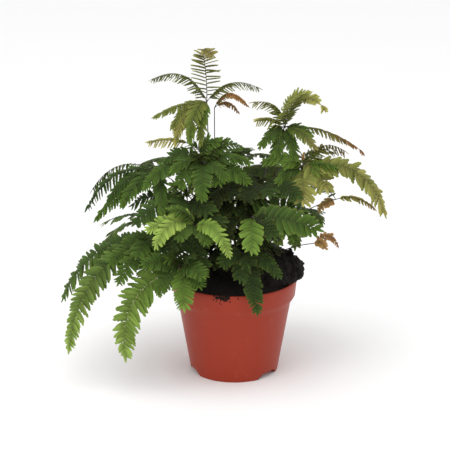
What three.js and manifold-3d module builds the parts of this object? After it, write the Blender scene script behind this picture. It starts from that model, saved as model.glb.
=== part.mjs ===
// A rosy maidenhair fern growing in a 12 cm plastic nursery pot.
//
// Millimetres, +Z up. The origin is the centre of the pot's foot, on the surface that it stands on.
// The plant's front faces -Y and its right-hand side is +X. Angles are in degrees.
//
// Each frond is a wiry stipe that stands in a hole in the soil, and a blade of long fingers that fan out
// from a fork at the stipe's top. A finger is one thin arched blade, cut to its rib into leaflets.

import * as THREE from "three";
import { mergeVertices } from "three/addons/utils/BufferGeometryUtils.js";
import Module from "manifold-3d";

const wasm = await Module();
wasm.setup();

// ---------------------------------------------------------------- driving dimensions

const GAP = 0.3; // between neighbouring pieces that rest on each other

const POT = {
  rimRadius: 60,
  height: 93,
  rimThickness: 2.0,
  bandHeight: 17,
  bandDraft: 1.5,
  shoulderHeight: 6,
  bodyTopRadius: 54.3,
  footRadius: 42.2,
  wall: 1.3,
  sides: 40,
};
// Three recesses in the edge of the foot, each with a drain hole in its roof.
const NOTCH = { bearings: [-40, -160, 80], height: 5.6, topWidth: 16, footWidth: 30, depth: 9 };
const DRAIN = { radius: 3, sides: 10 };

const SOIL = {
  sunk: 2.2, // the soil's edge under the pot's rim
  rise: 13, // the middle above its edge
  sides: 24,
};
// The root ball's top, heaped above the rim and lapping over it on the right.
const HEAP = { centre: [17, 10, 93.5], radii: [50, 49, 22], sides: 20, rings: 9, lump: 0.035 };

const STIPE = { radius: 0.85, sides: 5, steps: 6, sunk: 11 };
const STIPE_HOLE = { radius: 1.7, below: 0.5, above: 9, steps: 3 };
// The blade's own foot: a knob at the fork and the last stretch of the stipe.
const HUB = { radius: 2, collar: 7 };

const FINGER = {
  thickness: 0.75,
  ribHalfWidth: 1.1,
  bareStalk: 8,
  peak: 0.45, // the rib's highest stretch, as a share of the way from fork to tip
  pitch: 0.47, // between leaflets, per millimetre of their length, and added to the least pitch
  leastPitch: 4,
  leafletWidth: 0.78, // per millimetre of the pitch
  sweep: 0.3, // how far a leaflet's end lies ahead of its foot, per millimetre of its length
  fold: 0.16, // how far it hangs below the rib, per millimetre of its length
  skyward: 55, // on a rib that climbs straight up, its leaflets turn this far towards the sky
  taperPower: 0.42,
  tip: 0.6, // the last leaflet's length, per millimetre of the longest one's
};

// A finger that would touch what already stands is bent clear in whole steps of lift and turn, by the
// smallest bend that works, and rather by a turn. The first few millimetres are left out, because its
// neighbours start there too.
const BEND = { step: 5, reach: 7, liftCost: 2, clearance: 0.6, fromHub: 6 };

const SHADES = {
  deep: { color: 0x3c6a2a, roughness: 0.6 },
  fresh: { color: 0x86a83c, roughness: 0.55 },
  olive: { color: 0x7c8a3e, roughness: 0.6 },
  bronze: { color: 0x9a6a44, roughness: 0.6 },
};

// The fronds, as they stand in the pot. root is [bearing, distance] from the middle of the crown; fork is
// [x, y, z]; leaflet is the length of the longest leaflets; light is the bearing that the blades lean
// their upper faces to. Each finger is its tip [x, y, z], then its arch above the straight line from the
// fork, then how strongly it leans to the light.
const CROWN = [2, 4];
const FRONDS = [
  {
    name: "tall_left", shade: "olive", root: [171, 26], fork: [-26, 14, 261], leaflet: 13, light: -90,
    fingers: [
      [-30, -16, 316, 8, 0], [-84, 36, 275, 17, 0.1], [27, 24, 270, 13, 0.1],
      [-77, -16, 252, 4, 0.5], [-42, -30, 230, 14, 0.9],
    ],
  },
  {
    name: "tall_bronze", shade: "bronze", root: [143, 26], fork: [-19, 24, 253], leaflet: 5, light: -90,
    fingers: [[5, 14, 249, 8, 0.6], [13, -10, 265, 13, 0.9]],
  },
  {
    name: "tan_left", shade: "olive", root: [-170, 8], fork: [-42, -6, 225], leaflet: 9, light: -90,
    fingers: [[-83, -20, 230, 4, 0.6], [-58, -14, 237, 17, 0.9]],
  },
  {
    name: "top_right", shade: "olive", root: [20, 14], fork: [48, 22, 235], leaflet: 12, light: -90,
    fingers: [
      [80, -8, 263, 19, 0.9], [15, 30, 259, 12, 0.1], [17, 10, 244, 5, 0.4],
      [118, 10, 216, 7, 0.3], [77, -14, 221, 5, 1.2], [42, -12, 217, 2, 1],
    ],
  },
  {
    name: "right", shade: "fresh", root: [-10, 16], fork: [64, 0, 200], leaflet: 13, light: -90,
    fingers: [
      [143, -16, 155, 24, 0.6], [63, -44, 175, 3, 1.2], [108, 26, 199, 16, 0.3],
      [27, -14, 211, 8, 0.8], [36, 18, 208, 10, 0.2],
    ],
  },
  {
    name: "dome", shade: "deep", root: [-120, 8], fork: [-30, -18, 208], leaflet: 14, light: -90,
    fingers: [
      [10, -2, 220, 12, 0.5], [-22, -26, 240, 8, 0.6], [-66, -16, 216, 10, 0.6],
      [-77, -54, 190, 13, 0.9], [-30, -64, 184, 10, 1.1], [14, -44, 202, 6, 1],
    ],
  },
  {
    name: "left", shade: "deep", root: [175, 15], fork: [-72, 2, 196], leaflet: 11, light: -90,
    fingers: [
      [-139, 26, 168, 17, 0.3], [-139, -12, 156, 18, 0.8], [-125, -44, 163, 7, 1],
      [-86, -52, 168, 5, 1.3], [-98, 52, 182, 8, 0],
    ],
  },
  {
    name: "low_left", shade: "deep", root: [-165, 20], fork: [-77, -28, 139], leaflet: 16, light: -90,
    fingers: [[-156, -58, 35, 24, 1.2], [-167, -4, 67, 19, 0.8], [-113, -62, 102, 5, 1.2]],
  },
  {
    name: "low_front_left", shade: "deep", root: [-140, 21], fork: [-50, -50, 119], leaflet: 16, light: -90,
    fingers: [
      [-101, -74, 33, 25, 1.3], [-47, -76, 78, 6, 1.3], [-88, -62, 124, 5, 1], [-26, -86, 119, 5, 1.2],
    ],
  },
  {
    name: "front_left", shade: "fresh", root: [-112, 18], fork: [-37, -50, 159], leaflet: 13, light: -90,
    fingers: [
      [-73, -78, 144, 14, 1.1], [-4, -86, 138, 13, 1.1], [-10, -66, 166, 4, 1], [-66, -62, 180, 6, 0.9],
    ],
  },
  {
    name: "front_right", shade: "fresh", root: [-62, 18], fork: [15, -46, 166], leaflet: 14, light: -90,
    fingers: [[15, -88, 142, 4, 1.2], [82, -60, 156, 4, 1.2], [76, -34, 168, 8, 0.9]],
  },
  {
    name: "right_bronze", shade: "bronze", root: [0, 22], fork: [96, 2, 169], leaflet: 5, light: -90,
    fingers: [[135, -4, 159, 7, 0.5], [78, -16, 162, 3, 0.9], [76, 8, 183, 3, 0.7]],
  },
  {
    name: "young_bronze", shade: "bronze", root: [-22, 26], fork: [75, -16, 131], leaflet: 5, light: -90,
    fingers: [[99, -14, 125, 10, 0.8], [86, -32, 129, 5, 1]],
  },
  {
    name: "front_low", shade: "deep", root: [-80, 24], fork: [8, -48, 132], leaflet: 11, light: -90,
    fingers: [[21, -78, 80, 5, 1.2], [-14, -68, 124, 5, 1], [46, -60, 112, 6, 1]],
  },
  {
    name: "inner", shade: "deep", root: [-100, 6], fork: [-2, -20, 166], leaflet: 14, light: -90,
    fingers: [[-28, -48, 160, 5, 1.1], [34, -28, 162, 6, 1], [0, -60, 148, 6, 1.2]],
  },
  {
    name: "middle_left", shade: "deep", root: [-150, 14], fork: [-44, -28, 176], leaflet: 14, light: -90,
    fingers: [[-92, -58, 162, 8, 1], [-28, -62, 170, 4, 1.1], [-100, -14, 166, 8, 0.6]],
  },
  {
    name: "middle_right", shade: "deep", root: [-30, 12], fork: [26, -12, 184], leaflet: 14, light: -90,
    fingers: [
      [66, -36, 176, 8, 1], [34, -52, 170, 7, 1.1], [-18, -30, 180, 7, 1], [74, 4, 182, 9, 0.5],
    ],
  },
  {
    name: "middle_back", shade: "deep", root: [80, 12], fork: [8, 34, 200], leaflet: 13, light: 90,
    fingers: [[4, 80, 190, 10, 0.5], [44, 56, 194, 8, 0.3], [-38, 54, 196, 8, 0.3]],
  },
  {
    name: "back_left", shade: "deep", root: [135, 18], fork: [-46, 50, 192], leaflet: 13, light: 120,
    fingers: [
      [-102, 80, 166, 13, 0.5], [-62, 110, 154, 14, 0.7], [-16, 104, 168, 9, 0.6], [-104, 40, 182, 10, 0.1],
    ],
  },
  {
    name: "back_right", shade: "deep", root: [50, 18], fork: [46, 52, 188], leaflet: 13, light: 60,
    fingers: [
      [88, 82, 156, 11, 0.5], [56, 114, 150, 13, 0.7], [10, 104, 164, 9, 0.6], [98, 44, 184, 9, 0.1],
    ],
  },
  {
    name: "back_low", shade: "fresh", root: [95, 22], fork: [0, 66, 150], leaflet: 13, light: 90,
    fingers: [
      [-32, 124, 94, 18, 0.9], [36, 126, 88, 18, 0.9], [-58, 92, 138, 9, 0.6],
    ],
  },
  {
    name: "low_back_left", shade: "deep", root: [158, 22], fork: [-70, 36, 136], leaflet: 13, light: 150,
    fingers: [[-140, 66, 78, 20, 0.8], [-100, 96, 86, 17, 0.9], [-128, 20, 122, 10, 0.4]],
  },
  {
    name: "low_back_right", shade: "deep", root: [28, 24], fork: [62, 42, 140], leaflet: 12, light: 50,
    fingers: [[88, 86, 116, 12, 0.7], [50, 116, 88, 16, 0.9], [88, 50, 136, 6, 0.3]],
  },
];

// ---------------------------------------------------------------- solids and geometries

const UP = new THREE.Vector3(0, 0, 1);
const radians = THREE.MathUtils.degToRad;

// A closed geometry as a manifold solid, with its shared vertices merged.
function toSolid(geometry) {
  const bare = geometry.clone();
  bare.deleteAttribute("normal");
  bare.deleteAttribute("uv");
  const merged = mergeVertices(bare, 1e-4);
  const vertProperties = new Float32Array(merged.attributes.position.array);
  const triVerts = new Uint32Array(merged.index.array);
  return new wasm.Manifold(new wasm.Mesh({ numProp: 3, vertProperties, triVerts }));
}

function toGeometry(solid) {
  const mesh = solid.getMesh();
  const geometry = new THREE.BufferGeometry();
  geometry.setAttribute("position", new THREE.BufferAttribute(mesh.vertProperties, 3));
  geometry.setIndex(new THREE.BufferAttribute(mesh.triVerts, 1));
  geometry.computeVertexNormals();
  return geometry;
}

// A solid of revolution about Z. The profile is a closed loop of [radius, height].
function turned(profile, sides) {
  const points = profile.map(([r, z]) => new THREE.Vector2(r, z));
  const lathe = new THREE.LatheGeometry(points, sides);
  lathe.rotateX(Math.PI / 2);
  return toSolid(lathe);
}

function unionOf(solids) {
  return solids.reduce((all, solid) => all.add(solid));
}

// ---------------------------------------------------------------- pot

const outerRadiusAt = (z) =>
  POT.footRadius + ((POT.bodyTopRadius - POT.footRadius) * z) / shoulderFoot();
const shoulderFoot = () => POT.height - POT.bandHeight - POT.shoulderHeight;
const bandFoot = () => POT.height - POT.bandHeight;
const innerRadiusAt = (z) => outerRadiusAt(z) - POT.wall;
const bandFootRadius = () => POT.rimRadius - POT.bandDraft;

function potProfile() {
  return [
    [0, 0],
    [POT.footRadius, 0],
    [POT.bodyTopRadius, shoulderFoot()],
    [bandFootRadius(), bandFoot()],
    [POT.rimRadius, POT.height],
    [POT.rimRadius - POT.rimThickness, POT.height],
    [bandFootRadius() - POT.wall, bandFoot() + 1],
    [innerRadiusAt(shoulderFoot()), shoulderFoot() + 1],
    [innerRadiusAt(POT.wall), POT.wall],
    [0, POT.wall],
  ];
}

// The body of the pot as if it were solid.
function bodyProfile() {
  return [
    [0, 0],
    [POT.footRadius, 0],
    [POT.bodyTopRadius, shoulderFoot()],
    [0, shoulderFoot()],
  ];
}

// The space of a recess, or with its walls around it where it is grown by their thickness.
function notchSpace(bearing, grow) {
  const below = 1;
  const halfFoot = NOTCH.footWidth / 2 + grow;
  const halfTop = NOTCH.topWidth / 2 + grow;
  const outline = new THREE.Shape([
    new THREE.Vector2(-halfFoot, -below),
    new THREE.Vector2(halfFoot, -below),
    new THREE.Vector2(halfFoot, 0),
    new THREE.Vector2(halfTop, NOTCH.height + grow),
    new THREE.Vector2(-halfTop, NOTCH.height + grow),
    new THREE.Vector2(-halfFoot, 0),
  ]);
  const outside = 6;
  const depth = NOTCH.depth + grow + outside;
  const bar = new THREE.ExtrudeGeometry(outline, { depth, bevelEnabled: false });
  bar.rotateX(Math.PI / 2); // the outline now stands in XZ, and the bar runs along -Y
  bar.translate(0, NOTCH.depth + grow - POT.footRadius, 0);
  bar.rotateZ(radians(bearing + 90));
  return toSolid(bar);
}

function drainHole(bearing) {
  const height = 3 * POT.wall;
  const hole = new THREE.CylinderGeometry(DRAIN.radius, DRAIN.radius, height, DRAIN.sides);
  hole.rotateX(Math.PI / 2);
  hole.translate(POT.footRadius - NOTCH.depth / 2, 0, NOTCH.height + POT.wall / 2);
  hole.rotateZ(radians(bearing));
  return toSolid(hole);
}

function pot() {
  const body = turned(bodyProfile(), POT.sides);
  let solid = turned(potProfile(), POT.sides);
  for (const bearing of NOTCH.bearings) {
    solid = solid.add(body.intersect(notchSpace(bearing, POT.wall)));
    solid = solid.subtract(notchSpace(bearing, 0)).subtract(drainHole(bearing));
  }
  return solid;
}

// ---------------------------------------------------------------- soil

const soilEdgeHeight = () => POT.height - SOIL.sunk;

function soilFill() {
  const bottom = POT.wall + GAP;
  const edgeRadius = bandFootRadius() - POT.wall - GAP;
  return turned(
    [
      [0, bottom],
      [innerRadiusAt(bottom) - GAP, bottom],
      [innerRadiusAt(shoulderFoot()) - GAP, shoulderFoot() + 1],
      [edgeRadius, bandFoot() + 1],
      [edgeRadius + 0.3, soilEdgeHeight()],
      [edgeRadius * 0.6, soilEdgeHeight() + SOIL.rise * 0.7],
      [0, soilEdgeHeight() + SOIL.rise],
    ],
    SOIL.sides,
  );
}

// A lumpy cap that is flat underneath, just clear of the rim.
function soilHeap() {
  const ball = new THREE.SphereGeometry(1, HEAP.sides, HEAP.rings);
  ball.rotateX(Math.PI / 2);
  const place = ball.attributes.position;
  const point = new THREE.Vector3();
  for (let i = 0; i < place.count; i++) {
    point.fromBufferAttribute(place, i);
    const lump = 1 + HEAP.lump * (Math.sin(7 * point.x + 2) + Math.sin(9 * point.y + 5 * point.z));
    place.setXYZ(i, point.x * lump, point.y * lump, point.z * lump);
  }
  ball.scale(...HEAP.radii);
  ball.translate(...HEAP.centre);
  const under = new THREE.BoxGeometry(4 * POT.rimRadius, 4 * POT.rimRadius, 2 * POT.height);
  under.translate(0, 0, GAP);
  return toSolid(ball).subtract(toSolid(under));
}

function soil() {
  let solid = soilFill().add(soilHeap());
  for (const bearing of NOTCH.bearings) solid = solid.subtract(notchSpace(bearing, POT.wall + GAP));
  for (const frond of FRONDS) solid = solid.subtract(stipeHole(frond));
  return solid;
}

// ---------------------------------------------------------------- stipes

// The height of the heap's surface under a point of the crown.
function soilHeightAt(x, y) {
  const [centreX, centreY, centreZ] = HEAP.centre;
  const [radiusX, radiusY, radiusZ] = HEAP.radii;
  const out = ((x - centreX) / radiusX) ** 2 + ((y - centreY) / radiusY) ** 2;
  return centreZ + radiusZ * Math.sqrt(Math.max(0, 1 - out));
}

// From the soil a stipe rises steeply, then leans out to the fork.
function stipeCurve(frond) {
  const [bearing, distance] = frond.root;
  const x = CROWN[0] + distance * Math.cos(radians(bearing));
  const y = CROWN[1] + distance * Math.sin(radians(bearing));
  const root = new THREE.Vector3(x, y, soilHeightAt(x, y) - STIPE.sunk);
  const fork = new THREE.Vector3(...frond.fork);
  const height = fork.z - root.z;
  const rising = root.clone().lerp(fork, 0.12).setZ(root.z + 0.45 * height);
  const arriving = root.clone().lerp(fork, 0.55).setZ(root.z + 0.88 * height);
  return new THREE.CubicBezierCurve3(root, rising, arriving, fork);
}

// The part of a frond's stipe between two distances from its root, as a wire.
function wire(frond, from, to, steps, radius = STIPE.radius) {
  const curve = stipeCurve(frond);
  const length = curve.getLength();
  const points = [];
  for (let i = 0; i <= steps; i++) {
    points.push(curve.getPointAt((from + ((to - from) * i) / steps) / length));
  }
  const corners = [];
  for (let i = 0; i < STIPE.sides; i++) {
    const angle = (2 * Math.PI * i) / STIPE.sides;
    corners.push(new THREE.Vector2(radius * Math.cos(angle), radius * Math.sin(angle)));
  }
  const along = { steps, extrudePath: new THREE.CatmullRomCurve3(points), bevelEnabled: false };
  return toSolid(new THREE.ExtrudeGeometry(new THREE.Shape(corners), along));
}

function stipe(frond) {
  const length = stipeCurve(frond).getLength();
  return wire(frond, STIPE_HOLE.below, length - HUB.collar - GAP, STIPE.steps);
}

function hub(frond) {
  const length = stipeCurve(frond).getLength();
  const knob = new THREE.OctahedronGeometry(HUB.radius, 0);
  knob.translate(...frond.fork);
  return toSolid(knob).add(wire(frond, length - HUB.collar, length, 1));
}

// The hole that a stipe stands in follows it out of the soil.
function stipeHole(frond) {
  return wire(frond, 0, STIPE.sunk + STIPE_HOLE.above, STIPE_HOLE.steps, STIPE_HOLE.radius);
}

// ---------------------------------------------------------------- fingers

// A finger's rib arches from the fork to its tip in an upright plane, whose level normal is its left.
function ribOf(frond, [x, y, z, arch, lean], bend) {
  const fork = new THREE.Vector3(...frond.fork);
  const chord = new THREE.Vector3(x, y, z).sub(fork);
  const left = new THREE.Vector3(-chord.y, chord.x, 0).normalize();
  chord.applyAxisAngle(left, -radians(bend.lift)).applyAxisAngle(UP, radians(bend.turn));
  left.applyAxisAngle(UP, radians(bend.turn));
  const bow = chord.clone().cross(left).setLength(2 * arch);
  const control = fork.clone().addScaledVector(chord, FINGER.peak).add(bow);
  const curve = new THREE.QuadraticBezierCurve3(fork, control, fork.clone().add(chord));
  const light = new THREE.Vector3(Math.cos(radians(frond.light)), Math.sin(radians(frond.light)), 0);
  return { curve, length: curve.getLength(), left, light, lean };
}

// The rib's point at a distance along it, with the blade's directions there: forward, sideways and out
// of its upper face, which leans to the light as far as the rib allows.
function stationAt(rib, along) {
  const share = Math.min(along / rib.length, 1);
  const tangent = rib.curve.getTangentAt(share);
  const sunny = rib.light.clone().addScaledVector(tangent, -rib.light.dot(tangent));
  const face = tangent.clone().cross(rib.left).addScaledVector(sunny, rib.lean).normalize();
  return { point: rib.curve.getPointAt(share), tangent, side: face.clone().cross(tangent), face };
}

// A point of the blade and the direction out of its upper face there. Off the rib, the leaflet's width is
// laid along the rib, and turns its upper face to the sky where the rib climbs.
function onBlade(rib, { along, across, ahead }) {
  const { point, tangent, side, face } = stationAt(rib, along);
  const twist = across === 0 ? 0 : radians(FINGER.skyward) * Math.max(0, tangent.z);
  const lengthwise = tangent.clone().multiplyScalar(Math.cos(twist)).addScaledVector(face, -Math.sin(twist));
  const outward = face.clone().multiplyScalar(Math.cos(twist)).addScaledVector(tangent, Math.sin(twist));
  point.addScaledVector(side, across);
  point.addScaledVector(lengthwise, ahead);
  point.addScaledVector(face, -FINGER.fold * Math.abs(across));
  return { point, outward };
}

// Leaflets are longest a third of the way up a finger.
const fullness = (share) => Math.min(1, 0.72 + 1.6 * share) * (1 - share) ** FINGER.taperPower;

// The blade laid flat, as points of it and the triangles between them.
function bladeSheet(start, length, longest) {
  const tipLength = FINGER.tip * longest;
  const leafy = length - tipLength - FINGER.bareStalk;
  const usualPitch = FINGER.leastPitch + FINGER.pitch * longest;
  const pairs = Math.max(2, Math.round(leafy / usualPitch));
  const pitch = leafy / pairs;
  const half = FINGER.ribHalfWidth;
  const points = [];
  const triangles = [];
  const addPoint = (along, across, ahead = 0) => points.push({ along, across, ahead }) - 1;
  const addQuad = (a, b, c, d) => triangles.push([a, b, c], [a, c, d]);
  const addRung = (along) => [addPoint(along, half), addPoint(along, -half)];

  let [left, right] = addRung(start);
  const growTo = (along) => {
    const [nextLeft, nextRight] = addRung(along);
    addQuad(left, right, nextRight, nextLeft);
    const rung = { left, right, nextLeft, nextRight };
    [left, right] = [nextLeft, nextRight];
    return rung;
  };
  growTo(FINGER.bareStalk);
  for (let pair = 0; pair < pairs; pair++) {
    const middle = FINGER.bareStalk + (pair + 0.5) * pitch;
    const reach = longest * fullness(middle / length);
    const ahead = FINGER.sweep * reach;
    const halfWidth = (FINGER.leafletWidth * pitch * Math.min(1, 0.4 + reach / longest)) / 2;
    const rung = growTo(middle + pitch / 2);
    const leftNear = addPoint(middle, half + 0.88 * reach, ahead - halfWidth);
    const leftFar = addPoint(middle, half + reach, ahead + halfWidth);
    const rightNear = addPoint(middle, -half - 0.88 * reach, ahead - halfWidth);
    const rightFar = addPoint(middle, -half - reach, ahead + halfWidth);
    addQuad(rung.left, rung.nextLeft, leftFar, leftNear);
    addQuad(rung.right, rightNear, rightFar, rung.nextRight);
  }
  const shoulder = length - 0.5 * tipLength;
  const leftShoulder = addPoint(shoulder, 0.3 * tipLength);
  const rightShoulder = addPoint(shoulder, -0.3 * tipLength);
  const tip = addPoint(length, 0);
  triangles.push([left, right, tip], [left, tip, leftShoulder], [right, rightShoulder, tip]);
  return { points, triangles };
}

// The flat blade bent along its rib and given its thickness. Both faces have the same triangles, and a
// wall follows every edge that only one triangle has.
function bladeSolid(rib, { points, triangles }, grow = 0) {
  const halfThickness = FINGER.thickness / 2 + grow;
  const corners = [];
  for (const flat of points) {
    const across = flat.across + Math.sign(flat.across) * grow;
    const ahead = flat.ahead + Math.sign(flat.ahead) * grow;
    const { point, outward } = onBlade(rib, { along: flat.along, across, ahead });
    corners.push(point.clone().addScaledVector(outward, halfThickness));
    corners.push(point.clone().addScaledVector(outward, -halfThickness));
  }
  const upper = (i) => 2 * i;
  const lower = (i) => 2 * i + 1;
  const faces = [];
  const edges = new Set();
  for (const [a, b, c] of triangles) {
    faces.push(upper(a), upper(b), upper(c), lower(a), lower(c), lower(b));
    edges.add(`${a},${b}`).add(`${b},${c}`).add(`${c},${a}`);
  }
  for (const edge of edges) {
    const [from, to] = edge.split(",").map(Number);
    if (edges.has(`${to},${from}`)) continue;
    faces.push(upper(from), lower(from), lower(to), upper(from), lower(to), upper(to));
  }
  const geometry = new THREE.BufferGeometry().setFromPoints(corners);
  geometry.setIndex(faces);
  return toSolid(geometry);
}

function bendsInOrder() {
  const bends = [];
  for (let lift = -BEND.reach; lift <= BEND.reach; lift++) {
    for (let turn = -BEND.reach; turn <= BEND.reach; turn++) {
      const size = Math.hypot(BEND.liftCost * lift, turn);
      bends.push({ lift: lift * BEND.step, turn: turn * BEND.step, size });
    }
  }
  return bends.sort((one, other) => one.size - other.size);
}

function areApart(one, other) {
  const [boxOne, boxOther] = [one.boundingBox(), other.boundingBox()];
  const beyond = (k) => boxOne.max[k] < boxOther.min[k] || boxOther.max[k] < boxOne.min[k];
  return beyond(0) || beyond(1) || beyond(2) || one.intersect(other).isEmpty();
}

// The finger as drawn, or with the smallest bend that clears what stands and the fan's other fingers.
function clearFinger(frond, finger, obstacles) {
  for (const bend of bendsInOrder()) {
    const rib = ribOf(frond, finger, bend);
    const sheetFrom = (start) => bladeSheet(start, rib.length, frond.leaflet);
    const outline = bladeSolid(rib, sheetFrom(BEND.fromHub), BEND.clearance);
    if (obstacles.every((obstacle) => areApart(outline, obstacle))) {
      return { solid: bladeSolid(rib, sheetFrom(0)), outline };
    }
  }
  throw new Error(`${frond.name}: there is no room for the finger to ${finger.slice(0, 3)}`);
}

function blade(frond, standing) {
  const fingers = [];
  for (const finger of frond.fingers) {
    const siblings = fingers.map(({ outline }) => outline);
    fingers.push(clearFinger(frond, finger, [...standing, ...siblings]));
  }
  return unionOf([hub(frond), ...fingers.map(({ solid }) => solid)]);
}

// ---------------------------------------------------------------- the whole plant

const plant = new THREE.Group();

function addNode(name, solid, look) {
  const mesh = new THREE.Mesh(toGeometry(solid), new THREE.MeshStandardMaterial(look));
  mesh.name = name;
  plant.add(mesh);
}

const standing = [pot(), soil()];
addNode("pot", standing[0], { color: 0x9d3d2a, roughness: 0.42, metalness: 0 });
addNode("soil", standing[1], { color: 0x1c1613, roughness: 0.95, metalness: 0 });

for (const frond of FRONDS) {
  const solid = stipe(frond);
  standing.push(solid);
  addNode(`${frond.name}_stipe`, solid, { color: 0x33241d, roughness: 0.35, metalness: 0 });
}

for (const frond of FRONDS) {
  const solid = blade(frond, standing);
  standing.push(solid);
  addNode(`${frond.name}_leaflets`, solid, { ...SHADES[frond.shade], metalness: 0 });
}

export default plant;
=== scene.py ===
"""The looks of a rosy maidenhair fern in a plastic nursery pot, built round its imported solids.

+Z is up, and the plant's front faces -Y. Lengths are in metres, except where a class says that its own are
in mm. Angles are in degrees. The ribs and stipes repeat the rules of the solids, so every leaflet grows where
its solid is.
"""

import logging
import math
import random
from collections.abc import Callable, Iterable
from dataclasses import dataclass, field, replace
from enum import Enum
from functools import cached_property

import bmesh
import bpy
import numpy as np
from mathutils import Matrix, Vector
from mathutils.kdtree import KDTree


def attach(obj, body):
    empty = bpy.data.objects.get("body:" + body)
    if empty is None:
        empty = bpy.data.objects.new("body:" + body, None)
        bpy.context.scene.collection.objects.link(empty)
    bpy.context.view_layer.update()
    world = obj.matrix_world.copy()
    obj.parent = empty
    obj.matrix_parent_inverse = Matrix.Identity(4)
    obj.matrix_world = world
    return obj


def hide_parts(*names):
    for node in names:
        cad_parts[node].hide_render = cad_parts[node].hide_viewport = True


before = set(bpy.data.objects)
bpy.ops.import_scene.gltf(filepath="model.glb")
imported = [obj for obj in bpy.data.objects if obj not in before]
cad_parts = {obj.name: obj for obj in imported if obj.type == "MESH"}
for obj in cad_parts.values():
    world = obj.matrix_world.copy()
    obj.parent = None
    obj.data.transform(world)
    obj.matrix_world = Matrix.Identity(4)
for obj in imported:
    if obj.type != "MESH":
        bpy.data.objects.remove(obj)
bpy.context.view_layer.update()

log = logging.getLogger("potted_fern")

Piece = bpy.types.Object
Socket = bpy.types.NodeSocket
Material = bpy.types.Material

MM = 0.001
SEED = 20
UP = Vector((0, 0, 1))


# ---------------------------------------------------------------- colours


def linear(red: int, green: int, blue: int) -> tuple[float, float, float, float]:
    """Turns a colour of 0 to 255 as seen into the shader's linear one.

    Args:
        red, green, blue: the colour's parts as seen on a screen.

    Returns:
        The linear colour with an alpha of 1.
    """
    parts = [part / 255 for part in (red, green, blue)]
    bent = [p / 12.92 if p <= 0.04045 else ((p + 0.055) / 1.055) ** 2.4 for p in parts]
    return (*bent, 1.0)


class Tone(Enum):
    """The colours that a frond passes through, from its dark mature green to its bronze youth, and a painted
    shade.
    """

    # Painted shade: darker than any leaf's own green, for leaves in the shade deep in the plant's middle.
    SHADE = (26, 38, 16)
    DEEP = (52, 74, 31)
    MID = (76, 102, 36)
    FRESH = (108, 136, 56)
    LIME = (138, 162, 76)
    OLIVE = (108, 114, 54)
    DUSK = (112, 108, 74)
    GOLD = (158, 152, 84)
    TAN = (172, 164, 108)
    KHAKI = (136, 124, 76)
    BRONZE = (156, 116, 76)
    RUST = (142, 94, 66)
    BARK = (46, 32, 24)
    STRAW = (186, 176, 128)

    def colour(self) -> np.ndarray:
        """The tone as a linear colour."""
        return np.array(linear(*self.value))


class Slot(Enum):
    """The record's material slots."""

    POT = "pot"
    SOIL = "soil"
    STIPE = "stipe"
    DEEP = "leaf_deep"
    FRESH = "leaf_fresh"
    OLIVE = "leaf_olive"
    BRONZE = "leaf_bronze"


class Habit(Enum):
    """How a finger carries its leaflets: how far they hang and roll, their least sweep, and their width."""

    SPREAD = (7, 9, 14, 1.12)
    PLUMED = (7, 9, 20, 1.3)
    SWEPT = (18, 15, 36, 1.0)
    COMB = (-8, 4, 8, 0.94)
    HANGING = (34, 36, 32, 0.95)

    def __init__(self, hang: float, roll: float, sweep: float, width: float) -> None:
        """Names the parts: hang, roll and sweep in degrees, and the width as a share of the pitch."""
        self.hang = hang
        self.roll = roll
        self.sweep = sweep
        self.width = width


# ---------------------------------------------------------------- working by hand


def let_go() -> None:
    """Leaves edit mode and deselects everything."""
    if bpy.context.object and bpy.context.object.mode == "EDIT":
        bpy.ops.object.mode_set(mode="OBJECT")
    bpy.ops.object.select_all(action="DESELECT")


def pick_up(*pieces: Piece) -> None:
    """Selects these pieces alone, with the first one active.

    Args:
        *pieces: the pieces, with the active one first.
    """
    let_go()
    for piece in pieces:
        piece.select_set(True)
    bpy.context.view_layer.objects.active = pieces[0]


def start_piece(add: Callable, name: str, **settings) -> Piece:
    """Adds a primitive at its size and place, with its place in its mesh.

    Args:
        add: the operator that adds it.
        name: the piece's name.
        **settings: the operator's settings.

    Returns:
        The new object, selected, at the origin.
    """
    let_go()
    add(**settings)
    piece = bpy.context.object
    piece.name = name
    piece.data.name = name
    bpy.ops.object.transform_apply(location=True, rotation=True, scale=True)
    return piece


def edit(piece: Piece) -> None:
    """Opens a piece in edit mode with nothing in it selected.

    Args:
        piece: the mesh.
    """
    pick_up(piece)
    bpy.ops.object.mode_set(mode="EDIT")
    bpy.ops.mesh.select_all(action="DESELECT")


def select_points(test: Callable[[Vector], bool]) -> None:
    """Selects the points of the open mesh that pass a test of their place, and no others.

    Args:
        test: says of a place whether its point is wanted.
    """
    bpy.ops.mesh.select_mode(type="VERT")
    shape = bmesh.from_edit_mesh(bpy.context.object.data)
    for point in shape.verts:
        point.select = bool(test(point.co))
    shape.select_flush_mode()
    bmesh.update_edit_mesh(bpy.context.object.data)


def apply_modifier(piece: Piece, kind: str, **settings) -> None:
    """Adds a modifier, sets it up and applies it.

    Args:
        piece: the mesh that gets it.
        kind: the modifier's type.
        **settings: its properties.
    """
    pick_up(piece)
    bpy.ops.object.modifier_add(type=kind)
    modifier = piece.modifiers[-1]
    for key, value in settings.items():
        setattr(modifier, key, value)
    bpy.ops.object.modifier_apply(modifier=modifier.name)


def roughen(piece: Piece, grain: float, strength: float, level: float = 0.5) -> None:
    """Pushes a surface in and out by clouds.

    Args:
        piece: the mesh.
        grain: the clouds' size.
        strength: how far apart the highest and the lowest points may be.
        level: the cloud's value that moves nothing.
    """
    clouds = bpy.data.textures.new("clouds", "CLOUDS")
    clouds.noise_scale = grain
    settings = {"texture_coords": "LOCAL", "strength": strength, "mid_level": level}
    apply_modifier(piece, "DISPLACE", texture=clouds, **settings)


def smooth(piece: Piece, angle: float) -> None:
    """Shades a piece smooth, but for edges sharper than an angle."""
    pick_up(piece)
    bpy.ops.object.shade_smooth_by_angle(angle=math.radians(angle))


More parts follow.
